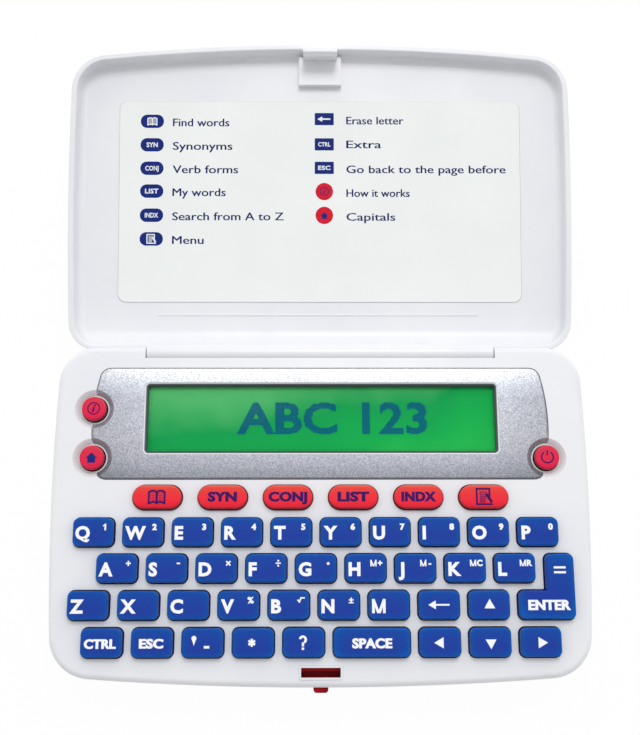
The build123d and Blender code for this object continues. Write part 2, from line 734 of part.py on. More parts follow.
def board_outline():
    """Plan of the circuit board: a slab under the keys with an arm up each side of the screen."""
    with BuildSketch() as outline:
        with Locations((0, BOARD_Y)):
            Rectangle(BOARD_WIDTH, BOARD_DEPTH)
        with Locations((-BOARD_ARM_X, BOARD_ARM_Y), (BOARD_ARM_X, BOARD_ARM_Y)):
            Rectangle(BOARD_ARM_WIDTH, BOARD_ARM_DEPTH)
        fillet(outline.vertices().group_by(Axis.Y)[0], BOARD_CORNER)
        with Locations(*FRONT_SCREWS):
            Circle(BOARD_NOTCH_RADIUS, mode=Mode.SUBTRACT)
    return outline.sketch


def circuit_board():
    """Board with its chips underneath, three switch domes and the cell contacts."""
    with BuildPart() as board:
        with BuildSketch(Plane.XY.offset(BOARD_Z)):
            add(board_outline())
        extrude(amount=BOARD_THICKNESS)
        for near, far, chip_height in CHIPS:
            block_between((*near, BOARD_Z - chip_height), (*far, BOARD_Z))
        for x, y in ROUND_BUTTONS.values():
            with Locations((x, y, BOARD_TOP_Z)):
                Cylinder(SWITCH_RADIUS, SWITCH_HEIGHT, align=(Align.CENTER, Align.CENTER, Align.MIN))
        # Contact plates at both ends of the cell bay; a stud stands for the coil spring
        contact_x = DOOR_HALF_WIDTH + DOOR_TONGUE + 0.2
        cell_end = CELL_LENGTH + CELL_NUB
        contact_inner = contact_x - CONTACT_THICKNESS
        contact_front = CELL_Y - CONTACT_HALF_WIDTH
        contact_rear = CELL_Y + CONTACT_HALF_WIDTH
        block_between(
            (-contact_x, contact_front, CONTACT_LOW_Z), (-contact_inner, contact_rear, CONTACT_TOP_Z)
        )
        block_between(
            (contact_inner, contact_front, CONTACT_LOW_Z), (contact_x, contact_rear, CONTACT_TOP_Z)
        )
        with Locations(Plane(origin=(-contact_inner, CELL_Y, CELL_Z), z_dir=(1, 0, 0))):
            Cylinder(
                SPRING_RADIUS,
                contact_inner + CELL_X - cell_end - CELL_PLAY,
                align=(Align.CENTER, Align.CENTER, Align.MIN),
            )
    save(board.part, "circuit_board")
    return board.part


def key_mat():
    """Silicone sheet with a dome under every flat key, drawn at pressed height."""
    with BuildPart() as mat:
        with BuildSketch(Plane.XY.offset(BOARD_TOP_Z)) as sheet:
            with Locations((0, MAT_Y)):
                Rectangle(MAT_WIDTH, MAT_DEPTH)
            fillet(sheet.vertices().group_by(Axis.Y)[0], BOARD_CORNER)
            with Locations(*BOARD_POSTS):
                Circle(MAT_POST_HOLE_RADIUS, mode=Mode.SUBTRACT)
            with Locations(*FRONT_SCREWS):
                Circle(BOARD_NOTCH_RADIUS, mode=Mode.SUBTRACT)
        extrude(amount=MAT_THICKNESS)
        with BuildSketch(Plane.XY.offset(BOARD_TOP_Z + MAT_THICKNESS)):
            with Locations(*KEYS.values()):
                Circle(DOME_RADIUS)
            with Locations(*PILLS.values()):
                Circle(DOME_RADIUS)
            with Locations(SPACE_PLACE, (ENTER_LEG_LEFT + 2, Z_ROW_Y)):
                Circle(DOME_RADIUS)
        extrude(amount=DOME_TOP_Z - BOARD_TOP_Z - MAT_THICKNESS)
    save(mat.part, "key_mat")
    return mat.part


def cells():
    """Two AAA cells end to end."""
    with BuildPart() as pair:
        for step in (-1, 0):
            start = CELL_X + step * (CELL_LENGTH + CELL_NUB)
            with Locations(Plane(origin=(start, CELL_Y, CELL_Z), z_dir=(1, 0, 0))):
                Cylinder(CELL_RADIUS, CELL_LENGTH, align=(Align.CENTER, Align.CENTER, Align.MIN))
            with Locations(Plane(origin=(start + CELL_LENGTH, CELL_Y, CELL_Z), z_dir=(1, 0, 0))):
                Cylinder(
                    CELL_NUB_RADIUS,
                    CELL_NUB - CELL_PLAY,
                    align=(Align.CENTER, Align.CENTER, Align.MIN),
                )
    save(pair.part, "cells")
    return pair.part


def case_screws():
    """Four pan-head screws driven up through the lower case."""
    with BuildPart() as screws:
        for x, y in REAR_SCREWS + FRONT_SCREWS:
            with Locations((x, y, SCREW_RECESS_DEPTH)):
                Cylinder(
                    SCREW_SHAFT_RADIUS, SCREW_LENGTH, align=(Align.CENTER, Align.CENTER, Align.MIN)
                )
            with Locations((x, y, SCREW_RECESS_DEPTH - SCREW_HEAD_HEIGHT)):
                Cylinder(
                    SCREW_HEAD_RADIUS, SCREW_HEAD_HEIGHT, align=(Align.CENTER, Align.CENTER, Align.MIN)
                )
                Box(SCREW_CROSS_WIDTH, SCREW_CROSS_LENGTH, 2 * SCREW_CROSS_DEPTH, mode=Mode.SUBTRACT)
                Box(SCREW_CROSS_LENGTH, SCREW_CROSS_WIDTH, 2 * SCREW_CROSS_DEPTH, mode=Mode.SUBTRACT)
    save(screws.part, "case_screws")
    return screws.part


def lid_block(low, high, mode=Mode.ADD):
    """A box given by its corners in the lid's own plane."""
    with Locations(LID_PLANE):
        block_between(low, high, mode)


def lid_cavity():
    """The lid's hollow, with a small round between its floor and its walls."""
    with BuildPart() as cavity:
        with BuildSketch(LID_PLANE.offset(LID_RIM)):
            add(lid_outline(LID_WALL))
        extrude(amount=LID_FLOOR - LID_RIM, taper=LID_DRAFT)
        fillet(cavity.faces().sort_by(LID_NORMAL)[0].edges(), LID_INNER_FILLET)
    return cavity.part


def lid_cove():
    """A deep round that fills the corner between the lid's floor and its hinge wall."""
    wall_y = LID_REAR + LID_WALL
    top = LID_FLOOR + LID_COVE
    with BuildPart() as cove:
        add(lid_cavity())
        with BuildSketch(HOOK_PLANE):
            with BuildLine():
                Line((wall_y + LID_COVE, LID_FLOOR), (wall_y - 1, LID_FLOOR))
                Line((wall_y - 1, LID_FLOOR), (wall_y - 1, top))
                Line((wall_y - 1, top), (wall_y, top))
                RadiusArc((wall_y, top), (wall_y + LID_COVE, LID_FLOOR), -LID_COVE)
            make_face()
        extrude(amount=LID_HALF_WIDTH, both=True, mode=Mode.INTERSECT)
    return cove.part


def hook_profile():
    """Side view of the hook: a thin plate with a nose that points at the hinge."""
    inner = HOOK_FACE - HOOK_PLATE
    tip = inner - HOOK_NOSE
    with BuildSketch(HOOK_PLANE) as profile:
        with BuildLine():
            Polyline(
                (HOOK_FACE, LID_FLOOR - 0.3),
                (HOOK_FACE, HOOK_TIP - 0.4),
                (HOOK_FACE - 0.3, HOOK_TIP),
                (inner, HOOK_TIP),
                (tip, HOOK_CATCH + 0.5),
                (tip, HOOK_CATCH),
                (inner, HOOK_CATCH),
                (inner, LID_FLOOR - 0.3),
                close=True,
            )
        make_face()
    return profile.sketch


def lid_shell():
    """Lid tray with the hinge barrel, its pins and the latch hook moulded on."""
    plate_centre = (PLATE_REAR + PLATE_FRONT) / 2
    web_rear, web_front, web_low, web_high = HINGE_WEB
    with BuildPart() as lid:
        with BuildSketch(LID_PLANE.offset(LID_RIM)):
            add(lid_outline())
        extrude(amount=LID_SKIN - LID_RIM, taper=LID_DRAFT)
        fillet(lid.faces().sort_by(LID_NORMAL)[0].edges(), LID_EDGE)
        add(lid_cavity(), mode=Mode.SUBTRACT)
        fillet(lid.faces().sort_by(LID_NORMAL)[-1].edges(), LID_RIM_EDGE)
        add(lid_cove())
        with BuildSketch(LID_PLANE.offset(LID_FLOOR)):
            with Locations((0, plate_centre)):
                RectangleRounded(PLATE_WIDTH + 0.2, PLATE_FRONT - PLATE_REAR + 0.2, PLATE_CORNER)
        extrude(amount=-PLATE_RECESS, mode=Mode.SUBTRACT)

        # Hinge: a barrel on the lid's rear wall, with a stub pin at each end
        for radius, half_length in (
            (BARREL_RADIUS, BARREL_HALF_LENGTH),
            (PIN_RADIUS, BARREL_HALF_LENGTH + PIN_LENGTH),
        ):
            with Locations(Plane(origin=(-half_length, HINGE_Y, HINGE_Z), z_dir=(1, 0, 0))):
                Cylinder(radius, 2 * half_length, align=(Align.CENTER, Align.CENTER, Align.MIN))
        lid_block(
            (-BARREL_HALF_LENGTH, web_rear, web_low), (BARREL_HALF_LENGTH, web_front, web_high)
        )

        # Latch hook on its raised block at the free edge
        half_hook = HOOK_WIDTH / 2
        inner = HOOK_FACE - HOOK_PLATE
        lid_block(
            (-HOOK_BLOCK_HALF, HOOK_BLOCK_REAR, LID_FLOOR - 0.3), (HOOK_BLOCK_HALF, inner + 1, HOOK_BLOCK)
        )
        lid_block((-half_hook, inner, LID_FLOOR - 0.3), (half_hook, LID_FRONT - 0.9, HOOK_BACKING))
        extrude(hook_profile(), amount=half_hook, both=True)
    save(lid.part, "lid_shell")
    return lid.part


def legend_plate():
    """Thin printed plate in the floor of the lid."""
    with BuildPart() as plate:
        with BuildSketch(LID_PLANE.offset(LID_FLOOR - PLATE_RECESS)):
            with Locations((0, (PLATE_REAR + PLATE_FRONT) / 2)):
                RectangleRounded(PLATE_WIDTH, PLATE_FRONT - PLATE_REAR, PLATE_CORNER)
        extrude(amount=PLATE_THICKNESS)
    save(plate.part, "legend_plate")
    return plate.part


def latch_button():
    """Slider under the deck: a ledge that holds the hook, a tray, spring arms and a push button."""
    ledge_z = SLIDER_TOP_Z - SLIDER_THICKNESS
    tray_floor_z = SLIDER_TRAY_Z + TRAY_FLOOR
    window_front = SLIDER_FRONT_Y + 0.6
    window_half = SLIDER_WINDOW_HALF
    button_half = BUTTON_WIDTH / 2
    with BuildPart() as slider:
        block_between(
            (-SLIDER_HALF_WIDTH, SLIDER_FRONT_Y, ledge_z),
            (SLIDER_HALF_WIDTH, SLIDER_REAR_Y, SLIDER_TOP_Z),
        )
        block_between(
            (-TRAY_HALF_WIDTH, SLIDER_FRONT_Y, SLIDER_TRAY_Z), (TRAY_HALF_WIDTH, TRAY_REAR_Y, ledge_z)
        )
        # Moulded spring arms, drawn relaxed
        block_between(
            (-SLIDER_ARM_REACH, ARM_FRONT_Y, ledge_z - 0.5),
            (SLIDER_ARM_REACH, ARM_REAR_Y, ledge_z + 0.3),
        )
        # The hook's way down, and the hollow under the ledge that its nose moves into
        block_between(
            (-window_half, window_front, tray_floor_z),
            (window_half, SLIDER_LEDGE_Y, SLIDER_TOP_Z),
            mode=Mode.SUBTRACT,
        )
        block_between(
            (-window_half, SLIDER_LEDGE_Y - 0.1, tray_floor_z),
            (window_half, LEDGE_HOLLOW_REAR_Y, ledge_z),
            mode=Mode.SUBTRACT,
        )
        block_between(
            (-button_half, BUTTON_FRONT_Y, BUTTON_LOW_Z),
            (button_half, SLIDER_FRONT_Y + 0.1, BUTTON_TOP_Z),
        )
        fillet(slider.edges().filter_by(Axis.Z).group_by(Axis.Y)[0], BUTTON_CORNER)
    save(slider.part, "latch_button")
    return slider.part


def rounded_cap(width, depth, corner):
    """Plan of a cap, centred."""
    with BuildSketch() as outline:
        RectangleRounded(width, depth, corner)
    return outline.sketch


def pill_cap():
    """Plan of a pill-shaped cap, centred."""
    with BuildSketch() as outline:
        SlotOverall(PILL_LENGTH, PILL_DEPTH)
    return outline.sketch


def round_cap(radius):
    """Plan of a round cap or flange, centred."""
    with BuildSketch() as outline:
        Circle(radius)
    return outline.sketch


def corner_cap(left, bottom, right, top, corner):
    """Plan of a cap given by its corners."""
    with BuildSketch() as outline:
        with Locations(((left + right) / 2, (bottom + top) / 2)):
            RectangleRounded(right - left, top - bottom, corner)
    return outline.sketch


def key(name, outlines, flange, place, base_z, height):
    """One cap, the union of its outlines raised with draft, and its flange under the deck."""
    x, y = place
    with BuildPart() as cap:
        with BuildSketch(Plane((x, y, base_z))):
            add(flange)
        extrude(amount=FLANGE_THICKNESS)
        for outline in outlines:
            with BuildSketch(Plane((x, y, base_z))):
                add(outline)
            extrude(amount=DECK_Z - base_z)
            with BuildSketch(Plane((x, y, DECK_Z))):
                add(outline)
            extrude(amount=height, taper=CAP_DRAFT)
        fillet(cap.faces().sort_by(Axis.Z)[-1].edges(), CAP_EDGE)
    save(cap.part, name)
    return cap.part


def all_keys():
    """Every cap: the square ones, space, enter, the six pills and the three round buttons."""
    square = rounded_cap(CAP_WIDTH, CAP_DEPTH, CAP_CORNER)
    square_flange = rounded_cap(CAP_WIDTH + 2 * FLANGE_REACH, CAP_DEPTH, FLANGE_CORNER)
    for name, place in KEYS.items():
        key(name, [square], square_flange, place, FLANGE_Z, CAP_HEIGHT)
    space = rounded_cap(SPACE_WIDTH, CAP_DEPTH, CAP_CORNER)
    space_flange = rounded_cap(SPACE_WIDTH + 2 * FLANGE_REACH, CAP_DEPTH, FLANGE_CORNER)
    key("key_space", [space], space_flange, SPACE_PLACE, FLANGE_Z, CAP_HEIGHT)
    foot = corner_cap(ENTER_LEFT, ENTER_BOTTOM, ENTER_RIGHT, ENTER_STEP, CAP_CORNER)
    leg = corner_cap(ENTER_LEG_LEFT, ENTER_BOTTOM, ENTER_RIGHT, ENTER_TOP, CAP_CORNER)
    enter_flange = corner_cap(
        ENTER_LEFT - FLANGE_REACH,
        ENTER_BOTTOM,
        ENTER_RIGHT + FLANGE_REACH,
        ENTER_STEP,
        FLANGE_CORNER,
    )
    key("key_enter", [foot, leg], enter_flange, (0, 0), FLANGE_Z, CAP_HEIGHT)
    pill_flange = rounded_cap(
        PILL_LENGTH + 2 * FLANGE_REACH, PILL_DEPTH - PILL_FLANGE_TRIM, FLANGE_CORNER
    )
    for name, place in PILLS.items():
        key(name, [pill_cap()], pill_flange, place, FLANGE_Z, PILL_HEIGHT)
    for name, place in ROUND_BUTTONS.items():
        flange = round_cap(ROUND_RADIUS + FLANGE_REACH)
        key(name, [round_cap(ROUND_RADIUS)], flange, place, ROUND_FLANGE_Z, ROUND_HEIGHT)


lower_case()
upper_case()
screen_bezel()
screen_lens()
lcd_panel()
circuit_board()
key_mat()
cells()
battery_door()
case_screws()
lid_shell()
legend_plate()
latch_button()
all_keys()
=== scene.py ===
# %% [markdown]
# # A pocket electronic dictionary, dressed for the camera
# The solids of the dictionary come ready made: case, lid, caps, latch and battery door, each
# riding on the body that moves it. This lesson gives every one of them a real finish and adds
# what a solid can't carry: printed legends, the dot-matrix picture, rubber feet, small icons.
# All lengths are metres, +X is the user's right, +Y runs to the hinge and +Z is up.

# %% Load the solids
import json
import math
import bpy
from mathutils import Matrix, Vector


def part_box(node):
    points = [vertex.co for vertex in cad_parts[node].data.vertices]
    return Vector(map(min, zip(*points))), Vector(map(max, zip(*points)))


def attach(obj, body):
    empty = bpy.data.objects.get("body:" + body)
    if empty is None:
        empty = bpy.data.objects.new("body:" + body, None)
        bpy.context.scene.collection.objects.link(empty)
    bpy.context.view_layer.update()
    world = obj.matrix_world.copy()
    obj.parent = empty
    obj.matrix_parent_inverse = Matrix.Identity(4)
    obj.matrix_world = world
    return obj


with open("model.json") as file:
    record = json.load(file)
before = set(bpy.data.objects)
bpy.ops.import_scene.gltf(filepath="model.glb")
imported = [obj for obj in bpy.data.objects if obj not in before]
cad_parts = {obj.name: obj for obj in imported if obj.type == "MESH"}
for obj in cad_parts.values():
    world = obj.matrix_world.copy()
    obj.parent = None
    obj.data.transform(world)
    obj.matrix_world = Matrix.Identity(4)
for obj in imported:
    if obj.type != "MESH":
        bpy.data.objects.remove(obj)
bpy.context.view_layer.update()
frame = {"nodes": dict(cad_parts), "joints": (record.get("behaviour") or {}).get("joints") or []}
nodes = frame["nodes"]
MM = 0.001

# %% [markdown]
# ## Where things are
# A few heights are read from the solids, so that prints lie on what carries them. The lid rests
# open at its stop, leaning back, so it gets a frame of its own: x along the hinge, y away from
# the hinge, z out of its inner face. In it the face of the printed plate is 7.5 mm below the
# hinge. The highest thing on the case's top is the rim of the latch slot, 0.3 mm above the deck.

# %% Heights and the lid's own frame
CAP_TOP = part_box("key_q")[1].z
PILL_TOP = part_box("pill_menu")[1].z
ROUND_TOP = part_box("button_info")[1].z
SLOT_RIM = 0.3 * MM
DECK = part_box("upper_case")[1].z - SLOT_RIM
DISPLAY_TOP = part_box("lcd_panel")[1].z
HINGE = Vector(frame["joints"][0]["pos_m"])
OPEN_ANGLE = frame["joints"][0]["range_deg"][1]
LID_TILT = math.radians(180 - OPEN_ANGLE)
LID_FRAME = Matrix.Translation(HINGE) @ Matrix.Rotation(LID_TILT, 4, "X")
PLATE_TOP = -7.5 * MM
print("cap top", round(CAP_TOP / MM, 2), "pill top", round(PILL_TOP / MM, 2), "deck", round(DECK / MM, 2))


def middle(node):
    """Centre of a solid's box, seen from above."""
    low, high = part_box(node)
    return (low.x + high.x) / 2, (low.y + high.y) / 2


# %% [markdown]
# ## Finishes
# Every finish starts as one Principled shader. Small functions add what the real surface has:
# a slow drift of colour, fine grain in the moulding, and gloss that changes from place to place.
# Patterns read Object coordinates, so they stay put on each piece.

# %% Helpers for finishes
def linear(red, green, blue):
    """Turns the usual 0-255 colour numbers into the linear ones that shaders use."""
    def channel(value):
        value /= 255
        return value / 12.92 if value <= 0.04045 else ((value + 0.055) / 1.055) ** 2.4
    return (channel(red), channel(green), channel(blue), 1.0)


def new_finish(name, colour, roughness, metallic=0.0, shine=0.5):
    """A material with one Principled shader set to plain values."""
    material = bpy.data.materials.new(name)
    material.use_nodes = True
    shader = material.node_tree.nodes["Principled BSDF"]
    shader.inputs["Base Color"].default_value = colour
    shader.inputs["Roughness"].default_value = roughness
    shader.inputs["Metallic"].default_value = metallic
    shader.inputs["Specular IOR Level"].default_value = shine
    return material


def shader_of(material):
    return material.node_tree.nodes["Principled BSDF"]


def add_node(material, kind, **values):
    """Adds a node; names that are sockets set the socket, the others set the node."""
    node = material.node_tree.nodes.new(kind)
    for key, value in values.items():
        socket = key.replace("_", " ")
        if socket in node.inputs:
            node.inputs[socket].default_value = value
        else:
            setattr(node, key, value)
    return node


def join(material, source, target):
    material.node_tree.links.new(source, target)


def place_of(material, centre=(0, 0, 0)):
    """Object coordinates, moved so that the centre of one piece is their origin."""
    coordinates = add_node(material, "ShaderNodeTexCoord")
    mapping = add_node(material, "ShaderNodeMapping", vector_type="TEXTURE")
    mapping.inputs["Location"].default_value = centre
    join(material, coordinates.outputs["Object"], mapping.inputs["Vector"])
    return mapping.outputs["Vector"]


def noise(material, place, scale, detail=3.0):
    """Soft random pattern; a higher scale makes it finer."""
    made = add_node(material, "ShaderNodeTexNoise", Scale=scale, Detail=detail, Roughness=0.55)
    join(material, place, made.inputs["Vector"])
    return made.outputs["Fac"]


def ramp(material, factor, *stops):
    """Colour stops as (position, colour)."""
    made = add_node(material, "ShaderNodeValToRGB")
    points = made.color_ramp.elements
    while len(points) < len(stops):
        points.new(0.5)
    for point, (position, colour) in zip(points, stops):
        point.position = position
        point.color = colour
    join(material, factor, made.inputs["Fac"])
    return made.outputs["Color"]


def grain(material, factor, strength, distance):
    """Fine relief in the surface."""
    made = add_node(material, "ShaderNodeBump", Strength=strength, Distance=distance)
    join(material, factor, made.inputs["Height"])
    join(material, made.outputs["Normal"], shader_of(material).inputs["Normal"])


def colour_from(material, output):
    join(material, output, shader_of(material).inputs["Base Color"])


def dress(names, material):
    """Gives solids their finish."""
    for name in names:
        slots = nodes[name].data.materials
        slots.clear()
        slots.append(material)


# %% [markdown]
# A material can also work with numbers. The place of a point on the piece, taken as one axis,
# becomes a slope or a mask, and these steer colour and gloss.

# %% Helpers for numbers in a finish
def spread(material, value, low, high, to_low=0.0, to_high=1.0):
    """Maps one range of numbers onto another, and clamps."""
    made = add_node(material, "ShaderNodeMapRange")
    for name, number in (("From Min", low), ("From Max", high), ("To Min", to_low), ("To Max", to_high)):
        made.inputs[name].default_value = number
    join(material, value, made.inputs["Value"])
    return made.outputs["Result"]


def gloss_change(material, factor, low, high):
    """Roughness that drifts between two values, as a noise goes from its low to its high parts."""
    join(material, spread(material, factor, 0.3, 0.7, low, high), shader_of(material).inputs["Roughness"])


def maths(material, operation, first, second=0.5):
    """One Math node; each input is a number or the output of another node."""
    made = add_node(material, "ShaderNodeMath", operation=operation)
    for index, value in enumerate((first, second)):
        if isinstance(value, bpy.types.NodeSocket):
            join(material, value, made.inputs[index])
        else:
            made.inputs[index].default_value = value
    return made.outputs[0]


def mix_colour(material, factor, first, second):
    """Mixes two colours; each is a colour or the output of another node."""
    made = add_node(material, "ShaderNodeMix", data_type="RGBA")
    for index, value in ((0, factor), (6, first), (7, second)):
        if isinstance(value, bpy.types.NodeSocket):
            join(material, value, made.inputs[index])
        else:
            made.inputs[index].default_value = value
    return made.outputs[2]


def axis_of(material, place, axis):
    made = add_node(material, "ShaderNodeSeparateXYZ")
    join(material, place, made.inputs["Vector"])
    return made.outputs[axis]


def within(material, value, low, high):
    """One where a number lies between two others, and nought elsewhere."""
    from_middle = maths(material, "ABSOLUTE", maths(material, "SUBTRACT", value, (low + high) / 2))
    return maths(material, "LESS_THAN", from_middle, (high - low) / 2)


# %% [markdown]
# ## Casing plastic
# The case, lid and battery door are one off-white moulding compound with a satin face. Real
# plastic isn't one flat colour: it drifts a little warmer and cooler over some centimetres, has
# a very fine grain from the mould, and shows a few faint specks. A painted picture could carry
# all that, but it would show seams where it is wrapped; patterns worked out in space have none.
# A Voronoi pattern cut off near its cell centres gives the specks, and a slow noise keeps most
# of them away.

# %% Casing
def casing_finish(name):
    """Off-white plastic; returns the material, its coordinates and its colour."""
    material = new_finish(name, linear(235, 236, 240), 0.34)
    place = place_of(material)
    drift = ramp(
        material,
        noise(material, place, 38),
        (0.3, linear(232, 233, 238)),
        (0.55, linear(236, 237, 240)),
        (0.75, linear(238, 238, 240)),
    )
    specks = add_node(material, "ShaderNodeTexVoronoi", Scale=420.0)
    join(material, place, specks.inputs["Vector"])
    near_centre = spread(material, specks.outputs["Distance"], 0.04, 0.07, 1.0, 0.0)
    seldom = spread(material, noise(material, place, 95, 1.0), 0.62, 0.66)
    faint = maths(material, "MULTIPLY", near_centre, seldom)
    gloss_change(material, noise(material, place, 60, 5.0), 0.28, 0.42)
    grain(material, noise(material, place, 2600, 2.0), 0.12, 0.03 * MM)
    shader_of(material).inputs["Coat Weight"].default_value = 0.12
    shader_of(material).inputs["Coat Roughness"].default_value = 0.25
    colour = mix_colour(material, faint, drift, linear(206, 205, 204))
    colour_from(material, colour)
    return material, place, colour


casing, place, colour = casing_finish("casing_plastic")
dress(["lid_shell", "battery_door"], casing)

# %% [markdown]
# The two halves of the case share a copy of that finish with one addition: a fine dark line
# marks the joint between them, 9 mm up. The gap itself is too narrow to catch a shadow at this
# size, so the line is laid in the colour, by the height on the piece.

# %% Case halves
SEAM_HEIGHT = 9.0 * MM
SEAM_HALF_WIDTH = 0.04 * MM
SEAM_FADE = 0.11 * MM
case_plastic, place, colour = casing_finish("casing_case")
above_seam = maths(case_plastic, "SUBTRACT", axis_of(case_plastic, place, "Z"), SEAM_HEIGHT)
from_seam = maths(case_plastic, "ABSOLUTE", above_seam)
seam = spread(case_plastic, from_seam, SEAM_HALF_WIDTH, SEAM_FADE, 0.85, 0.0)
colour_from(case_plastic, mix_colour(case_plastic, seam, colour, linear(120, 121, 126)))
dress(["upper_case", "lower_case"], case_plastic)
print("casing finish on 4 solids")

# %% [markdown]
# ## Silver paint
# The screen surround is plastic sprayed with metallic paint. The flakes are about 0.2 mm across
# and each lies at its own angle, so each catches the light differently. Voronoi cells with a
# random colour give one brightness per flake; a plain noise would look like cloth. The face under
# the paint is flat, so the light and shade of a crowned face are painted into its colour: paler at
# the rear, where a crown would turn to the light, darker towards the front and a little darker at its ends.
# The sloped frame of the window gets a painted highlight at the top and painted shade deeper down,
# where the dark also stands partly for a dark mask at the window's edge; a mask built from the place
# on the piece keeps that to the frame.

# %% Silver
silver = new_finish("silver_paint", linear(190, 191, 200), 0.4, metallic=0.35)
place = place_of(silver)
low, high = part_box("screen_bezel")
across_x = axis_of(silver, place, "X")
along_y = axis_of(silver, place, "Y")
along = spread(silver, along_y, low.y, high.y)
# Painted light and shade of a crowned face: paler at the rear, darker towards the front.
painted_crown_shading = ramp(
    silver,
    along,
    (0.0, linear(138, 142, 152)),
    (0.07, linear(152, 155, 164)),
    (0.13, linear(166, 168, 178)),
    (0.23, linear(178, 179, 189)),
    (0.38, linear(190, 191, 200)),
    (0.72, linear(193, 196, 206)),
    (0.83, linear(210, 214, 225)),
    (0.90, linear(230, 233, 241)),
    (1.0, linear(252, 253, 255)),
)
flakes = add_node(silver, "ShaderNodeTexVoronoi", Scale=5000.0)
join(silver, place, flakes.inputs["Vector"])
flake_light = spread(silver, axis_of(silver, flakes.outputs["Color"], "X"), 0.0, 1.0, 0.62, 1.32)
FLAT_TO = 45 * MM
ENDS_AT = 57 * MM
# Painted shade towards both ends.
ends = spread(silver, maths(silver, "ABSOLUTE", across_x), FLAT_TO, ENDS_AT, 1.0, 0.80)
lit = add_node(silver, "ShaderNodeVectorMath", operation="SCALE")
join(silver, painted_crown_shading, lit.inputs[0])
join(silver, maths(silver, "MULTIPLY", flake_light, ends), lit.inputs["Scale"])
window_low, window_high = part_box("screen_lens")
near_x = within(silver, across_x, window_low.x, window_high.x)
near_y = within(silver, along_y, window_low.y, window_high.y)
near_window = maths(silver, "MULTIPLY", near_x, near_y)
FRAME_DEPTH = 1.0 * MM
depth = spread(silver, axis_of(silver, place, "Z"), high.z, high.z - FRAME_DEPTH)
frame_mask = maths(silver, "MULTIPLY", near_window, spread(silver, depth, 0.02, 0.08))
# Painted highlight along the top of the window's frame, painted shade deeper down.
painted_frame_highlight_shade = ramp(
    silver,
    depth,
    (0.0, linear(250, 251, 253)),
    (0.26, linear(244, 246, 249)),
    (0.38, linear(92, 98, 106)),
    (1.0, linear(44, 52, 56)),
)
colour_from(silver, mix_colour(silver, frame_mask, lit.outputs[0], painted_frame_highlight_shade))
gloss_change(silver, noise(silver, place, 300, 4.0), 0.34, 0.46)
grain(silver, axis_of(silver, flakes.outputs["Color"], "Y"), 0.10, 0.03 * MM)
dress(["screen_bezel"], silver)
print("silver from y", round(low.y / MM, 1), "to", round(high.y / MM, 1))

# %% [markdown]
# ## Display and window
# A green reflective display lies under a clear flat window. The green isn't even: the light guide
# is paler towards the rear left and stronger towards the front right. It could be made to glow,
# but this kind of display only reflects, so it is plain colour with almost no shine. The window
# is acrylic, drawn almost fully see-through so that the display keeps its brightness.

# %% Display green and clear window
green = new_finish("display_green", linear(40, 180, 92), 0.5, shine=0.04)
low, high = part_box("lcd_panel")
place = place_of(green, centre=(0, (low.y + high.y) / 2, 0))
slope = maths(
    green,
    "ADD",
    spread(green, axis_of(green, place, "X"), -46 * MM, 46 * MM, 0.0, 0.45),
    spread(green, axis_of(green, place, "Y"), 9 * MM, -9 * MM, 0.0, 0.55),
)
uneven = maths(green, "ADD", slope, spread(green, noise(green, place, 45, 2.0), 0.3, 0.7, -0.14, 0.14))
colour_from(
    green,
    ramp(
        green,
        uneven,
        (0.12, linear(94, 204, 121)),
        (0.45, linear(22, 173, 88)),
        (0.75, linear(24, 190, 87)),
        (0.95, linear(44, 206, 90)),
    ),
)
gloss_change(green, noise(green, place, 200), 0.45, 0.55)
dress(["lcd_panel"], green)

window = new_finish("clear_window", linear(20, 40, 30), 0.06, shine=0.3)
window.surface_render_method = "BLENDED"
shader_of(window).inputs["Alpha"].default_value = 0.05
shader_of(window).inputs["IOR"].default_value = 1.49
smears = noise(window, place_of(window), 160, 4.0)
gloss_change(window, smears, 0.04, 0.14)
dress(["screen_lens"], window)
print("display top at", round(DISPLAY_TOP / MM, 2))

# %% [markdown]
# ## Caps
# The letter caps are glossy blue plastic with slightly pillowed tops. The solid tops are flat, so the
# light on a pillow is painted into the colour: paler at the rim and deeper in the middle, by the
# distance from the middle of the cap raised to a power to keep it near the rim. The rear edge is
# painted paler as lit, and the side walls are painted dark as shade, with a paler blue at their foot
# as light in the gap. Each cap gets its own copy of the finish with the pattern centred on it,
# because all solids share one coordinate frame.

# %% Blue caps
FLANGE_REACH = 0.75 * MM
FOOT_DEPTH = 0.4 * MM
LETTER_CAPS = sorted(n for n in nodes if n.startswith("key_") and n != "key_mat")
RED_CAPS = sorted(n for n in nodes if n.startswith(("pill_", "button_")))


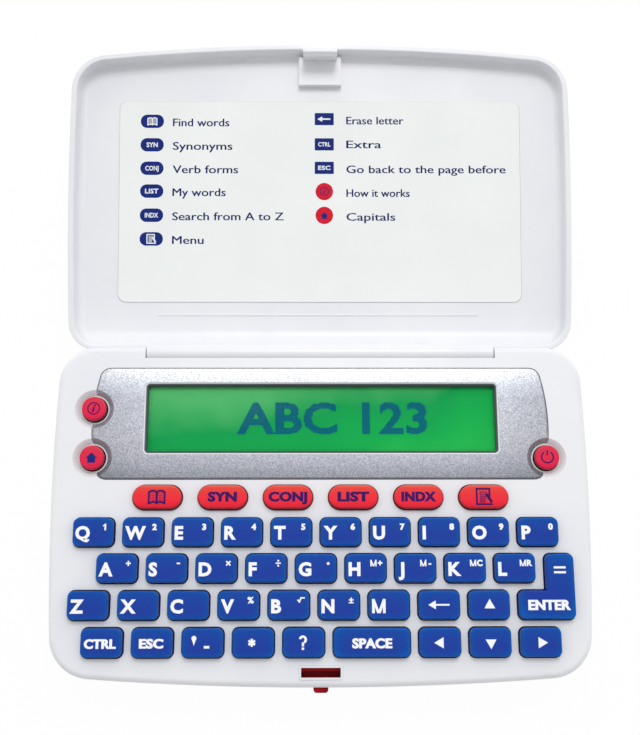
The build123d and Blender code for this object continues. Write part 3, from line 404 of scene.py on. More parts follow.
def blue_cap(node):
    """Blue plastic with painted light at its rim and rear and side walls painted dark as shade, fitted to
    one cap.
    """
    low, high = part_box(node)
    half_x = (high.x - low.x) / 2 - FLANGE_REACH
    half_y = (high.y - low.y) / 2
    material = new_finish("blue_" + node, linear(32, 66, 157), 0.26, shine=0.12)
    place = place_of(material, centre=((low.x + high.x) / 2, (low.y + high.y) / 2, 0))
    beside = maths(material, "DIVIDE", axis_of(material, place, "X"), half_x)
    behind = maths(material, "DIVIDE", axis_of(material, place, "Y"), half_y)
    out_x = maths(material, "POWER", maths(material, "ABSOLUTE", beside), 5.0)
    out_y = maths(material, "POWER", maths(material, "ABSOLUTE", behind), 4.0)
    pillow_light_mask = maths(material, "ADD", out_x, out_y)
    # Painted light of a pillowed top: paler towards the rim, deeper in the middle.
    top = ramp(
        material,
        pillow_light_mask,
        (0.05, linear(28, 62, 158)),
        (0.38, linear(22, 68, 160)),
        (0.70, linear(8, 80, 168)),
        (1.0, linear(8, 90, 178)),
    )
    # Painted light along the rear edge, which faces the light.
    painted_rear_light = spread(material, behind, -0.2, 1.1, 0.0, 0.5)
    top = mix_colour(material, painted_rear_light, top, linear(10, 82, 170))
    height = spread(material, axis_of(material, place, "Z"), DECK - FOOT_DEPTH, high.z - 0.25 * MM)
    # Side walls painted dark as shade; their foot, in the gap, painted paler blue as light.
    painted_wall_shading = ramp(
        material,
        height,
        (0.0, linear(34, 104, 206)),
        (0.16, linear(6, 34, 100)),
        (0.6, linear(6, 46, 122)),
    )
    colour_from(material, mix_colour(material, spread(material, height, 0.7, 1.0), painted_wall_shading, top))
    gloss_change(material, noise(material, place, 420, 4.0), 0.22, 0.34)
    grain(material, noise(material, place, 3200, 2.0), 0.08, 0.02 * MM)
    return material


for name in LETTER_CAPS:
    dress([name], blue_cap(name))
print("blue caps:", len(LETTER_CAPS))

# %% [markdown]
# The six pills and the three round buttons are the same plastic in red, the round ones a shade
# deeper. Light and shade are painted on their tops, paler at the rear and deeper at the front, and
# their walls are painted dark as shade.

# %% Red caps
def red_cap(node):
    """Red plastic painted paler at its rear and deeper at its front as light and shade, with walls painted
    dark as shade.
    """
    low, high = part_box(node)
    half_y = (high.y - low.y) / 2
    material = new_finish("red_" + node, linear(238, 58, 65), 0.28, shine=0.12)
    place = place_of(material, centre=((low.x + high.x) / 2, (low.y + high.y) / 2, 0))
    from_front = spread(material, axis_of(material, place, "Y"), -half_y, half_y)
    # Painted light and shade: deeper red at the front, paler at the rear.
    top = ramp(
        material,
        from_front,
        (0.0, linear(196, 34, 50)),
        (0.14, linear(226, 34, 52)),
        (0.32, linear(242, 42, 60)),
        (0.62, linear(238, 54, 60)),
        (0.86, linear(232, 70, 62)),
        (1.0, linear(236, 106, 92)),
    )
    if node.startswith("button_"):
        top = mix_colour(material, 0.35, top, linear(190, 26, 96))
    height = spread(material, axis_of(material, place, "Z"), DECK - FOOT_DEPTH, high.z - 0.2 * MM)
    # Walls painted dark as shade; on the pills their foot in the gap is painted paler as light.
    painted_wall_foot = linear(238, 96, 96) if node.startswith("pill_") else linear(118, 14, 36)
    painted_wall_shading = ramp(material, height, (0.0, painted_wall_foot), (0.2, linear(118, 14, 36)), (0.6, linear(150, 22, 42)))
    colour_from(material, mix_colour(material, spread(material, height, 0.66, 1.0), painted_wall_shading, top))
    gloss_change(material, noise(material, place, 420, 4.0), 0.22, 0.36)
    grain(material, noise(material, place, 3200, 2.0), 0.08, 0.02 * MM)
    return material


for name in RED_CAPS:
    dress([name], red_cap(name))
print("red caps:", len(RED_CAPS))

# %% [markdown]
# ## Latch and plate
# The latch slider is dark red plastic with a little shine. The legend plate is a matt printed
# sheet, a shade greener than the casing it lies in. Both colours wander a little, as moulded and
# printed colours do.

# %% Latch and plate
latch_red = new_finish("latch_red", linear(150, 6, 22), 0.3, shine=0.08)
place = place_of(latch_red)
colour_from(
    latch_red,
    ramp(
        latch_red,
        noise(latch_red, place, 500, 4.0),
        (0.35, linear(140, 4, 20)),
        (0.7, linear(172, 12, 30)),
    ),
)
gloss_change(latch_red, noise(latch_red, place, 700, 4.0), 0.24, 0.4)
dress(["latch_button"], latch_red)

plate_sheet = new_finish("plate_sheet", linear(240, 243, 241), 0.55)
place = place_of(plate_sheet)
colour_from(
    plate_sheet,
    ramp(
        plate_sheet,
        noise(plate_sheet, place, 55),
        (0.3, linear(238, 241, 239)),
        (0.7, linear(242, 245, 243)),
    ),
)
gloss_change(plate_sheet, noise(plate_sheet, place, 90, 5.0), 0.48, 0.62)
grain(plate_sheet, noise(plate_sheet, place, 3500, 2.0), 0.06, 0.02 * MM)
dress(["legend_plate"], plate_sheet)

# %% [markdown]
# ## Pieces inside
# Where the battery door or the gaps around the caps let them be seen, there are a silicone mat,
# a green board, two foil-wrapped cells and zinc-plated screws. All but the cells wander between
# two colours, so one function makes them. The foil wrap is a dark sleeve with a gold end, and
# its bands repeat every cell length along the bay.

# %% Silicone, board, cells and screws
def patchy(name, dark, light, scale, roughness, metallic=0.0, relief=0.1, shine=0.5):
    """A finish that wanders between two colours, with a little relief."""
    material = new_finish(name, light, roughness, metallic, shine)
    place = place_of(material)
    pattern = noise(material, place, scale, 4.0)
    colour_from(material, ramp(material, pattern, (0.3, dark), (0.7, light)))
    gloss_change(material, noise(material, place, scale * 2, 4.0), roughness - 0.06, roughness + 0.08)
    grain(material, noise(material, place, scale * 6, 2.0), relief, 0.03 * MM)
    return material


dress(["key_mat"], patchy("silicone", linear(120, 122, 128), linear(140, 142, 148), 260, 0.6))
board_green = patchy("board_green", linear(12, 70, 34), linear(24, 96, 48), 420, 0.35)
dress(["circuit_board"], board_green)
zinc = patchy("zinc_steel", linear(140, 142, 146), linear(186, 188, 192), 900, 0.32, metallic=0.95)
dress(["case_screws"], zinc)

CELL_LENGTH = 44.5 * MM
wrap = new_finish("cell_wrap", linear(60, 66, 78), 0.3, metallic=0.4)
place = place_of(wrap)
bands = maths(wrap, "FRACT", maths(wrap, "DIVIDE", axis_of(wrap, place, "X"), CELL_LENGTH))
colour_from(
    wrap,
    ramp(
        wrap,
        bands,
        (0.05, linear(176, 178, 182)),
        (0.12, linear(38, 44, 58)),
        (0.70, linear(44, 50, 64)),
        (0.74, linear(190, 150, 70)),
    ),
)
gloss_change(wrap, noise(wrap, place, 300, 4.0), 0.24, 0.36)
dress(["cells"], wrap)
print("every solid dressed:", all(o.data.materials and o.data.materials[0] for o in nodes.values()))

# %% [markdown]
# ## Ink
# Printed legends are thin films of ink. They could be a picture on the cap, but a picture blurs
# up close, so they are modelled as closed shapes 0.03 mm thick. Half of that sits in the plastic.
# Two inks do most of it: white on blue caps, and a deep violet on red ones. The display's dots
# are teal.

# %% Inks
white_ink = patchy("white_ink", linear(244, 246, 250), linear(253, 254, 255), 900, 0.5, shine=0.2)
violet_ink = patchy("violet_ink", linear(50, 14, 86), linear(62, 20, 104), 900, 0.5, shine=0.1)
navy_ink = patchy("navy_ink", linear(16, 36, 112), linear(24, 46, 128), 900, 0.5, shine=0.1)
text_ink = patchy("text_ink", linear(20, 30, 92), linear(28, 38, 106), 900, 0.6, shine=0.1)
red_ink = patchy("red_ink", linear(206, 22, 44), linear(222, 32, 54), 900, 0.5, shine=0.1)
plate_ink = patchy("plate_white_ink", linear(234, 238, 240), linear(244, 247, 247), 900, 0.5, shine=0.2)
teal_dots = patchy("teal_dots", linear(0, 84, 134), linear(2, 96, 146), 1400, 0.5, shine=0.04)
INK_THICK = 0.03 * MM
INK_STEP = 0.002 * MM
print("inks ready")

# %% [markdown]
# ## How a piece is settled
# Every piece ends with its object at the origin and its place in its mesh, then rides on a body.
# That keeps patterns still when the body moves. Operators act on all that is selected, so each
# step starts by selecting nothing.

# %% Helpers for pieces
def clear_selection():
    bpy.ops.object.select_all(action="DESELECT")


def bake_place(piece):
    """Moves an object's place, turn and scale into its mesh."""
    clear_selection()
    piece.select_set(True)
    bpy.context.view_layer.objects.active = piece
    bpy.ops.object.transform_apply(location=True, rotation=True, scale=True)
    return piece


def copy_of(piece):
    """A copy with a mesh of its own."""
    clear_selection()
    piece.select_set(True)
    bpy.context.view_layer.objects.active = piece
    bpy.ops.object.duplicate()
    return bpy.context.object


def inked(shape, ink):
    """Gives a flat shape its ink and bakes its place."""
    shape.data.materials.clear()
    shape.data.materials.append(ink)
    return bake_place(shape)


def merge(pieces):
    """Joins several pieces into the first one, each a hair above the one before it."""
    for count, piece in enumerate(pieces):
        piece.location.z += count * INK_STEP
    if len(pieces) > 1:
        clear_selection()
        for piece in pieces:
            piece.select_set(True)
        bpy.context.view_layer.objects.active = pieces[0]
        bpy.ops.object.join()
    return pieces[0]


def settle(pieces, name, body, on=Matrix.Identity(4)):
    """Merges, places and names the pieces, and hangs them on their body."""
    piece = merge(pieces)
    piece.matrix_world = on @ piece.matrix_world
    bake_place(piece)
    piece.name = name
    piece.data.name = name
    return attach(piece, body)


# %% [markdown]
# Letters start as a text object with the built-in font, whose capitals are 0.682 of its size. A
# small offset makes the strokes bolder, and striking a word twice makes them bolder still, as on
# a cap that is printed in two passes. The text becomes a mesh before it is scaled, so that the
# height asked for is the height made.

# %% Letters
CAPITAL_HEIGHT = 0.682
TEXT_HALF_THICK = 0.01


def letters(words, height, ink, at=(0, 0), anchor="middle", width=None, weight=0.03):
    """Flat letters on z = 0, placed by their left end or their middle."""
    clear_selection()
    bpy.ops.object.text_add()
    text = bpy.context.object
    text.data.body = words
    text.data.offset = weight
    text.data.extrude = TEXT_HALF_THICK
    text.data.resolution_u = 3
    text.data.space_character = 1.0 + weight
    bpy.ops.object.convert(target="MESH")
    text = bpy.context.object
    ends = [v.co.x for v in text.data.vertices]
    tall = height / (CAPITAL_HEIGHT + 2 * weight)
    wide = tall if width is None else width / (max(ends) - min(ends))
    start = min(ends) if anchor == "left" else (min(ends) + max(ends)) / 2
    text.scale = (wide, tall, INK_THICK / (2 * TEXT_HALF_THICK))
    text.location = (at[0] - start * wide, at[1] - CAPITAL_HEIGHT / 2 * tall, 0)
    return inked(text, ink)


def bold_letters(words, height, ink, strike, **values):
    """Letters struck twice, a little apart, which thickens their upright strokes."""
    x, y = values.pop("at", (0, 0))
    return [letters(words, height, ink, at=(x + side * strike / 2, y), **values) for side in (-1, 1)]


# %% [markdown]
# Signs are put together from a few flat shapes: a bar, a triangle, a disc, a ring and a rounded
# block. Each starts as a primitive at its size and place and takes the ink. A ring could be two
# discs, one cut from the other, but a small rectangle spun about the centre can also stop part
# of the way, which a power sign and a question mark need.

# %% Flat shapes
def bar(width, height, ink, at=(0, 0), turn=0.0):
    """A flat bar, turned about its middle."""
    clear_selection()
    bpy.ops.mesh.primitive_cube_add(
        size=1, location=(*at, 0), rotation=(0, 0, turn), scale=(width, height, INK_THICK)
    )
    return inked(bpy.context.object, ink)


def disc(radius, ink, at=(0, 0), corners=32, turn=0.0, stretch=1.0):
    """A disc, or with three corners a triangle that points towards +Y."""
    clear_selection()
    bpy.ops.mesh.primitive_cylinder_add(
        vertices=corners, radius=radius, depth=INK_THICK, location=(*at, 0), rotation=(0, 0, turn)
    )
    shape = bpy.context.object
    shape.scale.y = stretch
    return inked(shape, ink)


def ring(radius, stroke, ink, at=(0, 0), degrees=360.0, start=0.0):
    """A flat ring or arc: a small rectangle spun about the centre."""
    clear_selection()
    bpy.ops.mesh.primitive_plane_add(size=1, location=(radius, 0, 0), rotation=(math.pi / 2, 0, 0))
    shape = bpy.context.object
    shape.scale = (stroke, INK_THICK, 1)
    bake_place(shape)
    steps = max(8, round(degrees / 9))
    bpy.ops.object.mode_set(mode="EDIT")
    bpy.ops.mesh.select_all(action="SELECT")
    bpy.ops.mesh.spin(
        steps=steps, angle=math.radians(degrees), center=(0, 0, 0), axis=(0, 0, 1), use_auto_merge=False
    )
    if degrees >= 360:
        bpy.ops.mesh.select_all(action="SELECT")
        bpy.ops.mesh.remove_doubles(threshold=0.002 * MM)
    bpy.ops.mesh.select_all(action="SELECT")
    bpy.ops.mesh.normals_make_consistent(inside=False)
    bpy.ops.object.mode_set(mode="OBJECT")
    shape.rotation_euler.z = math.radians(start)
    shape.location = (*at, 0)
    return inked(shape, ink)


def block(width, height, corner, ink):
    """A flat block with rounded corners."""
    shape = bar(width, height, ink)
    bpy.context.tool_settings.mesh_select_mode = (False, True, False)
    bpy.ops.object.mode_set(mode="EDIT")
    bpy.ops.mesh.select_all(action="DESELECT")
    bpy.ops.object.mode_set(mode="OBJECT")
    for edge in shape.data.edges:
        first, second = (shape.data.vertices[i].co for i in edge.vertices)
        edge.select = abs(first.z - second.z) > INK_THICK / 2
    bpy.ops.object.mode_set(mode="EDIT")
    bpy.ops.mesh.bevel(offset=corner, segments=7, affect="EDGES")
    bpy.ops.object.mode_set(mode="OBJECT")
    return shape


# %% [markdown]
# ## Legends on the letter caps
# Each letter stands at the left of its cap, with a small figure or sign at the upper right that
# the cap gives as a calculator. The word keys carry their word alone, and the arrows are solid
# triangles. Every place is an offset from the middle of the cap. The built-in font's M and some
# of its signs clog when they are made bolder, so those are put together from bars.

# %% Letter legends
LETTER_HEIGHT = 3.45 * MM
LETTER_Y = -0.28 * MM
SIGN_HEIGHT = 1.6 * MM
SIGNS = dict(zip("qwertyuiop", "1234567890"))
SIGNS.update(zip("vn", ("%", "±")))
MEMORY_SIGNS = dict(zip("hjkl", ("+", "-", "C", "R")))


def letter_m(height, ink, at):
    """A bold M made of four bars, with its middle at the place given."""
    stroke = height * 0.2
    width = height * 0.98
    lean = math.atan2(width / 2 - stroke / 2, height)
    leg_x = (width - stroke) / 2
    slant_x = width / 4 * 0.86
    slant = (stroke * 0.95, height / math.cos(lean) * 0.97)
    legs = [bar(stroke, height, ink, at=(at[0] + side * leg_x, at[1])) for side in (-1, 1)]
    slants = [bar(*slant, ink, at=(at[0] + side * slant_x, at[1]), turn=-side * lean) for side in (-1, 1)]
    return legs + slants


def small_sign(letter):
    """The figure or sign at the upper right of a cap."""
    x, y = 3.05 * MM, 1.2 * MM
    if letter == "q":
        return [
            bar(0.42 * MM, 1.65 * MM, white_ink, at=(x + 0.1 * MM, y)),
            bar(0.62 * MM, 0.3 * MM, white_ink, at=(x - 0.22 * MM, y + 0.42 * MM), turn=0.6),
        ]
    if letter in SIGNS:
        weight = 0.02 if letter in "vn" else 0.045
        return bold_letters(SIGNS[letter], SIGN_HEIGHT, white_ink, 0.1 * MM, at=(x, y), weight=weight)
    if letter in MEMORY_SIGNS:
        sign = letters(MEMORY_SIGNS[letter], SIGN_HEIGHT, white_ink, at=(3.55 * MM, y), weight=0.05)
        return [*letter_m(SIGN_HEIGHT, white_ink, at=(1.9 * MM, y)), sign]
    if letter == "a":
        return [bar(1.25 * MM, 0.36 * MM, white_ink, at=(x, y), turn=turn) for turn in (0, math.pi / 2)]
    if letter == "s":
        return [bar(0.85 * MM, 0.38 * MM, white_ink, at=(x, y))]
    if letter == "d":
        return [bar(1.5 * MM, 0.36 * MM, white_ink, at=(x, y), turn=turn) for turn in (0.8, -0.8)]
    if letter == "f":
        dots = [disc(0.25 * MM, white_ink, at=(x, y + side * 0.6 * MM), corners=16) for side in (-1, 1)]
        return [bar(1.3 * MM, 0.32 * MM, white_ink, at=(x, y)), *dots]
    if letter == "g":
        return [disc(0.36 * MM, white_ink, at=(x, y - 0.1 * MM), corners=20)]
    if letter == "b":
        return [
            bar(1.0 * MM, 0.34 * MM, white_ink, at=(x + 0.45 * MM, y + 0.55 * MM)),
            bar(1.45 * MM, 0.36 * MM, white_ink, at=(x - 0.2 * MM, y + 0.05 * MM), turn=1.2),
            bar(0.7 * MM, 0.34 * MM, white_ink, at=(x - 0.62 * MM, y - 0.15 * MM), turn=-0.9),
        ]
    return []


def cap_legend(node, *pieces, top=CAP_TOP, slot="blue_caps"):
    """Lays a legend on the middle of a cap."""
    name = "legend_" + node.removeprefix("key_")
    return settle(list(pieces), name, node, Matrix.Translation((*middle(node), top)))


def large_letter(letter):
    """The white capital at the left of a cap."""
    if letter == "m":
        return letter_m(LETTER_HEIGHT, white_ink, at=(-2.6 * MM, LETTER_Y))
    at = (-4.35 * MM, LETTER_Y)
    return [letters(letter.upper(), LETTER_HEIGHT, white_ink, at=at, anchor="left", weight=0.044)]


for letter in "qwertyuiopasdfghjklzxcvbnm":
    cap_legend("key_" + letter, *large_letter(letter), *small_sign(letter))

# %% [markdown]
# ## Words and signs on the other blue caps
# The long caps carry words in the same white ink, struck twice. The rest carry signs made from
# flat shapes, because the font's own are too thin to read on a cap. The enter key is an L, and
# the middle of its box is in neither arm, so its word and its two bars are placed by where the
# arms are on the case.

# %% Word and sign legends
WORD_STRIKE = 0.12 * MM


def word(words, width, height=2.3, at=(0.0, -0.2)):
    """A word in bold white letters; sizes and place are in millimetres."""
    at = (at[0] * MM, at[1] * MM)
    return bold_letters(words, height * MM, white_ink, WORD_STRIKE, at=at, width=width * MM, weight=0.04)


cap_legend("key_ctrl", *word("CTRL", 7.8, at=(-0.15, -0.25)))
cap_legend("key_esc", *word("ESC", 5.9, at=(-0.05, -0.2)))
cap_legend("key_space", *word("SPACE", 9.8, height=2.4))
cap_legend(
    "key_question",
    ring(0.72 * MM, 0.58 * MM, white_ink, at=(-0.2 * MM, 0.72 * MM), degrees=235, start=170),
    bar(0.56 * MM, 0.95 * MM, white_ink, at=(-0.18 * MM, -0.42 * MM)),
    bar(0.6 * MM, 0.58 * MM, white_ink, at=(-0.18 * MM, -1.45 * MM)),
)
STAR_TURNS = [math.radians(angle) for angle in (30, 90, 150)]
star = [bar(1.9 * MM, 0.55 * MM, white_ink, at=(-0.3 * MM, 0), turn=turn) for turn in STAR_TURNS]
cap_legend("key_asterisk", *star)
cap_legend(
    "key_apostrophe",
    disc(0.62 * MM, white_ink, at=(-2.05 * MM, 1.05 * MM), corners=20),
    disc(0.66 * MM, white_ink, at=(-2.05 * MM, 0.42 * MM), corners=3, turn=math.pi, stretch=1.7),
    bar(1.35 * MM, 0.62 * MM, white_ink, at=(1.1 * MM, -1.05 * MM)),
)
ENTER_WORD_X = 56.9
ENTER_LEG_X = 59.9
enter_x = middle("key_enter")[0] / MM
leg_x = (ENTER_LEG_X - enter_x) * MM
cap_legend(
    "key_enter",
    *word("ENTER", 10.5, height=2.5, at=(ENTER_WORD_X - enter_x, -4.6)),
    bar(3.0 * MM, 0.52 * MM, white_ink, at=(leg_x, 4.6 * MM)),
    bar(3.0 * MM, 0.52 * MM, white_ink, at=(leg_x, 3.4 * MM)),
)
ARROWS = {"key_up": 0.0, "key_left": math.pi / 2, "key_down": math.pi, "key_right": -math.pi / 2}
for node, turn in ARROWS.items():
    cap_legend(node, disc(1.55 * MM, white_ink, at=(0, -0.1 * MM), corners=3, turn=turn))
cap_legend(
    "key_backspace",
    disc(1.25 * MM, white_ink, at=(-1.55 * MM, 0), corners=3, turn=math.pi / 2),
    bar(3.9 * MM, 0.42 * MM, white_ink, at=(0.55 * MM, 0)),
)

# %% [markdown]
# ## Words on the pills
# Four of the six red pills carry a short word in violet ink. On the real cap the letters nearly
# fill the pill, so each word is fitted to the width it takes there.

# %% Pill words
PILL_STRIKE = 0.11 * MM
for node, words, width in (
    ("pill_synonym", "SYN", 7.3),
    ("pill_conjugation", "CONJ", 9.8),
    ("pill_list", "LIST", 8.0),
    ("pill_index", "INDX", 8.8),
):
    marks = bold_letters(words, 2.5 * MM, violet_ink, PILL_STRIKE, width=width * MM, weight=0.045)
    cap_legend(node, *marks, top=PILL_TOP, slot="red_caps")

# %% [markdown]
# ## Icons
# The first pill shows an open book and the last a page with a pen. Both are drawn as a pen would
# draw them: as lines through a few points, one bar for each leg. A curve with a bevel could draw
# the same line, but its corners would need care and its mesh would be much heavier.

# %% Book and page
def strokes(points, width, ink, scale):
    """A line through some points in millimetres, as one bar for each leg."""
    pieces = []
    for (x0, y0), (x1, y1) in zip(points, points[1:]):
        length = math.hypot(x1 - x0, y1 - y0) + 0.85 * width
        at = ((x0 + x1) / 2 * scale * MM, (y0 + y1) / 2 * scale * MM)
        turn = math.atan2(y1 - y0, x1 - x0)
        pieces.append(bar(length * scale * MM, width * scale * MM, ink, at=at, turn=turn))
    return pieces


def open_book(ink, page_ink, scale=1.0):
    """Two pages with wavy edges, each a frame of strokes with lines of text inside."""
    pieces = []
    for side in (-1, 1):
        edge = ((0, -1.5), (0.95, -1.25), (2.0, -1.65), (2.0, 1.2), (1.2, 1.55), (0.55, 1.5), (0, 1.1))
        pieces += strokes([(side * x, y) for x, y in edge], 0.5, ink, scale)
        for y in (0.95, 0.4, -0.15, -0.7):
            pieces += strokes(((side * 0.5, y - 0.1), (side * 1.5, y)), 0.22, page_ink, scale)
    return pieces + strokes(((0, -1.6), (0, 1.1)), 0.55, ink, scale)


def page_and_pen(ink, scale=1.0):
    """A framed sheet with a heading box, text lines and a slanting pen."""
    sheet = ((1.35, -0.2), (1.35, 1.95), (-1.9, 1.95), (-1.9, -1.95), (1.9, -1.95))
    heading = ((-1.05, 1.15), (0.55, 1.15), (0.55, 0.6), (-1.05, 0.6), (-1.05, 1.15))
    pieces = strokes(sheet, 0.48, ink, scale) + strokes(heading, 0.22, ink, scale)
    for count, y in enumerate((0.08, -0.42, -0.9, -1.36)):
        pieces += strokes(((-1.05, y), (0.5 - 0.12 * count, y)), 0.26, ink, scale)
    return pieces + strokes(((0.75, 0.35), (1.75, -1.25)), 0.72, ink, scale)


book_lines = patchy("book_lines", linear(138, 34, 112), linear(166, 48, 124), 900, 0.4, shine=0.1)
cap_legend("pill_dictionary", *open_book(violet_ink, book_lines), top=PILL_TOP, slot="red_caps")
cap_legend("pill_menu", *page_and_pen(violet_ink), top=PILL_TOP, slot="red_caps")

# %% [markdown]
# ## Signs on the round buttons
# The round buttons show an i in a ring for help, a block arrow for capitals and the usual power
# sign. The i and the arrow come back on the lid's plate at another scale, so they are functions.

# %% Round button signs
def letter_i(ink, scale):
    """A slanting i with its dot."""
    unit = MM * scale
    return [
        bar(0.36 * unit, 0.95 * unit, ink, at=(-0.04 * unit, -0.22 * unit), turn=-0.25),
        disc(0.2 * unit, ink, at=(0.2 * unit, 0.6 * unit), corners=16),
        bar(0.5 * unit, 0.16 * unit, ink, at=(-0.16 * unit, -0.62 * unit)),
    ]


def block_arrow(ink, scale=1.0):
    """A broad arrow that points away from the user."""
    unit = MM * scale
    return [
        disc(1.75 * unit, ink, at=(0, 0.3 * unit), corners=3, stretch=0.55),
        bar(2.0 * unit, 1.3 * unit, ink, at=(0, -0.75 * unit)),
    ]


RING_RADIUS = 1.5 * MM
info_sign = [ring(RING_RADIUS, 0.3 * MM, violet_ink), *letter_i(violet_ink, 1.3)]
power_sign = [
    ring(RING_RADIUS, 0.34 * MM, violet_ink, degrees=290, start=55),
    bar(0.34 * MM, 1.35 * MM, violet_ink, at=(0, 1.15 * MM)),
]
cap_legend("button_info", *info_sign, top=ROUND_TOP, slot="red_caps")
cap_legend("button_shift", *block_arrow(navy_ink), top=ROUND_TOP, slot="red_caps")
cap_legend("button_power", *power_sign, top=ROUND_TOP, slot="red_caps")

# %% [markdown]
# ## Dot-matrix picture
# A display like this draws with small square dots. One dot could be modelled and copied, but
# there are thousands, so all are made at once. A fine grid plane is laid over flat letters, and
# a ray is dropped through the middle of each cell. Cells that miss the letters are deleted. Each
# cell that is left is inset by itself, so gaps open between the dots, and then raised.

# %% Display dots
DOT_PITCH = 0.34 * MM
DOT_INSET = 0.022 * MM
DOT_THICK = 0.02 * MM
DOTS_X = (-21.8 * MM, 28.0 * MM)
DOTS_Y = (20.2 * MM, 28.6 * MM)
dots_width = DOTS_X[1] - DOTS_X[0]
dots_height = DOTS_Y[1] - DOTS_Y[0]
across = round(dots_width / DOT_PITCH)
down = round(dots_height / DOT_PITCH)
stencil = letters("ABC 123", dots_height, teal_dots, width=dots_width)
clear_selection()
bpy.ops.mesh.primitive_grid_add(x_subdivisions=across, y_subdivisions=down, size=1)
dots = bpy.context.object
dots.scale = (across * DOT_PITCH, down * DOT_PITCH, 1)
bake_place(dots)
bpy.context.tool_settings.mesh_select_mode = (False, False, True)
bpy.ops.object.mode_set(mode="EDIT")
bpy.ops.mesh.select_all(action="DESELECT")
bpy.ops.object.mode_set(mode="OBJECT")
for face in dots.data.polygons:
    above = Vector((face.center.x, face.center.y, 0.01))
    face.select = not stencil.ray_cast(above, Vector((0, 0, -1)))[0]
bpy.ops.object.mode_set(mode="EDIT")
bpy.ops.mesh.delete(type="FACE")
bpy.ops.mesh.select_all(action="SELECT")
bpy.ops.mesh.inset(thickness=DOT_INSET, depth=0, use_individual=True)
bpy.ops.mesh.select_all(action="INVERT")
bpy.ops.mesh.delete(type="FACE")
bpy.ops.mesh.select_all(action="SELECT")
bpy.ops.mesh.extrude_region_move(TRANSFORM_OT_translate={"value": (0, 0, DOT_THICK)})
bpy.ops.mesh.select_all(action="SELECT")
bpy.ops.mesh.normals_make_consistent(inside=False)
bpy.ops.object.mode_set(mode="OBJECT")
bpy.data.objects.remove(stencil)
inked(dots, teal_dots)
dots_centre = Vector((sum(DOTS_X) / 2, sum(DOTS_Y) / 2, DISPLAY_TOP))
settle([dots], "display_dots", "base", Matrix.Translation(dots_centre))
print("display faces:", len(dots.data.polygons))

# %% [markdown]
# ## Print on the lid's plate
# The plate explains the short keys. Its left column shows each pill in navy with the word for
# what it does, and its right column the keys that need explaining. Each line is one piece for
# the sign with its words, and one for the mark that is printed over the sign. The print lies in
# the lid's own frame, which tips it back with the lid. A sign that repeats is modelled once and
# copied, each copy with its own mesh.

# %% Plate print
LEFT_X = -46.4
RIGHT_X = 1.2
PLATE_STRIKE = 0.11 * MM


def plate_line(name, x, y, sign, mark, words, height, width, word_at):
    """One line of the plate: a copy of a sign with a mark on it and words to its right."""
    place = LID_FRAME @ Matrix.Translation((x * MM, y * MM, PLATE_TOP))
    at = (word_at[0] * MM, word_at[1] * MM)
    size = {"width": width * MM, "weight": 0}
    words = bold_letters(words, height * MM, text_ink, PLATE_STRIKE, at=at, anchor="left", **size)
    settle([copy_of(sign), *words], "print_" + name, "lid", place)
    lifted = Matrix.Translation((0, 0, INK_THICK * 0.6))
    settle(mark, "print_mark_" + name, "lid", place @ lifted)


def small_word(words, width, height):
    """A word in white for a sign, with its sizes in millimetres."""
    return [letters(words, height * MM, plate_ink, width=width * MM)]


pill_sign = block(6.4 * MM, 3.75 * MM, 1.8 * MM, navy_ink)
for name, y, words, width, mark in (
    ("words", 65.26, "Find words", 15.5, open_book(plate_ink, plate_ink, 0.62)),
    ("synonyms", 58.64, "Synonyms", 16.4, small_word("SYN", 3.1, 1.35)),
    ("verbs", 52.07, "Verb forms", 18.0, small_word("CONJ", 3.7, 1.35)),
    ("own_list", 45.67, "My words", 14.6, small_word("LIST", 3.7, 1.35)),
    ("index", 38.94, "Search from A to Z", 30.6, small_word("INDX", 3.7, 1.35)),
    ("menu", 32.35, "Menu", 8.6, page_and_pen(plate_ink, 0.62)),
):
    plate_line(name, LEFT_X, y, pill_sign, mark, words, 2.16, width, (5.75, -0.3))

# %% Plate's right column
key_sign = block(5.28 * MM, 3.42 * MM, 0.25 * MM, navy_ink)
round_sign = disc(2.42 * MM, red_ink, corners=40)
backspace_mark = [
    disc(0.9 * MM, plate_ink, at=(-1.0 * MM, 0), corners=3, turn=math.pi / 2),
    bar(2.4 * MM, 0.42 * MM, plate_ink, at=(0.5 * MM, 0)),
]
info_mark = [ring(1.15 * MM, 0.22 * MM, navy_ink), *letter_i(navy_ink, 0.9)]
for name, y, words, width, word_y, sign, mark in (
    ("erase", 65.96, "Erase letter", 15.8, -0.4, key_sign, backspace_mark),
    ("second", 58.84, "Extra", 9.6, 0.0, key_sign, small_word("CTRL", 3.4, 1.2)),
    ("back", 52.24, "Go back to the page before", 44.0, -0.4, key_sign, small_word("ESC", 3.4, 1.2)),
    ("help", 45.59, "How it works", 17.4, -0.4, round_sign, info_mark),
    ("capitals", 38.94, "Capitals", 13.4, -0.4, round_sign, block_arrow(navy_ink, 0.7)),
):
    plate_line(name, RIGHT_X, y, sign, mark, words, 2.12, width, (6.15, word_y))
for sign in (pill_sign, key_sign, round_sign):
    bpy.data.objects.remove(sign)

# %% [markdown]
# ## Small moulded and rubber pieces
# A low rib runs across the lid's floor near the hinge and stiffens it. It starts as a cube and
# gets its soft edges from a Bevel modifier, as the feet do further on; a bare cube would have
# edges sharper than any mould can make.

# %% Rib in the lid
SMOOTH_BELOW = math.radians(35)
RIB_PLACE = (-0.45 * MM, 11.35 * MM, -7.66 * MM)


def soften(piece, width):
    """Rounds the edges and shades the piece smoothly."""
    clear_selection()
    piece.select_set(True)
    bpy.context.view_layer.objects.active = piece
    bevel = piece.modifiers.new("edge", "BEVEL")
    bevel.width = width
    bevel.segments = 3
    bevel.limit_method = "ANGLE"
    bpy.ops.object.modifier_apply(modifier=bevel.name)
    bpy.ops.object.shade_smooth_by_angle(angle=SMOOTH_BELOW)
    return piece


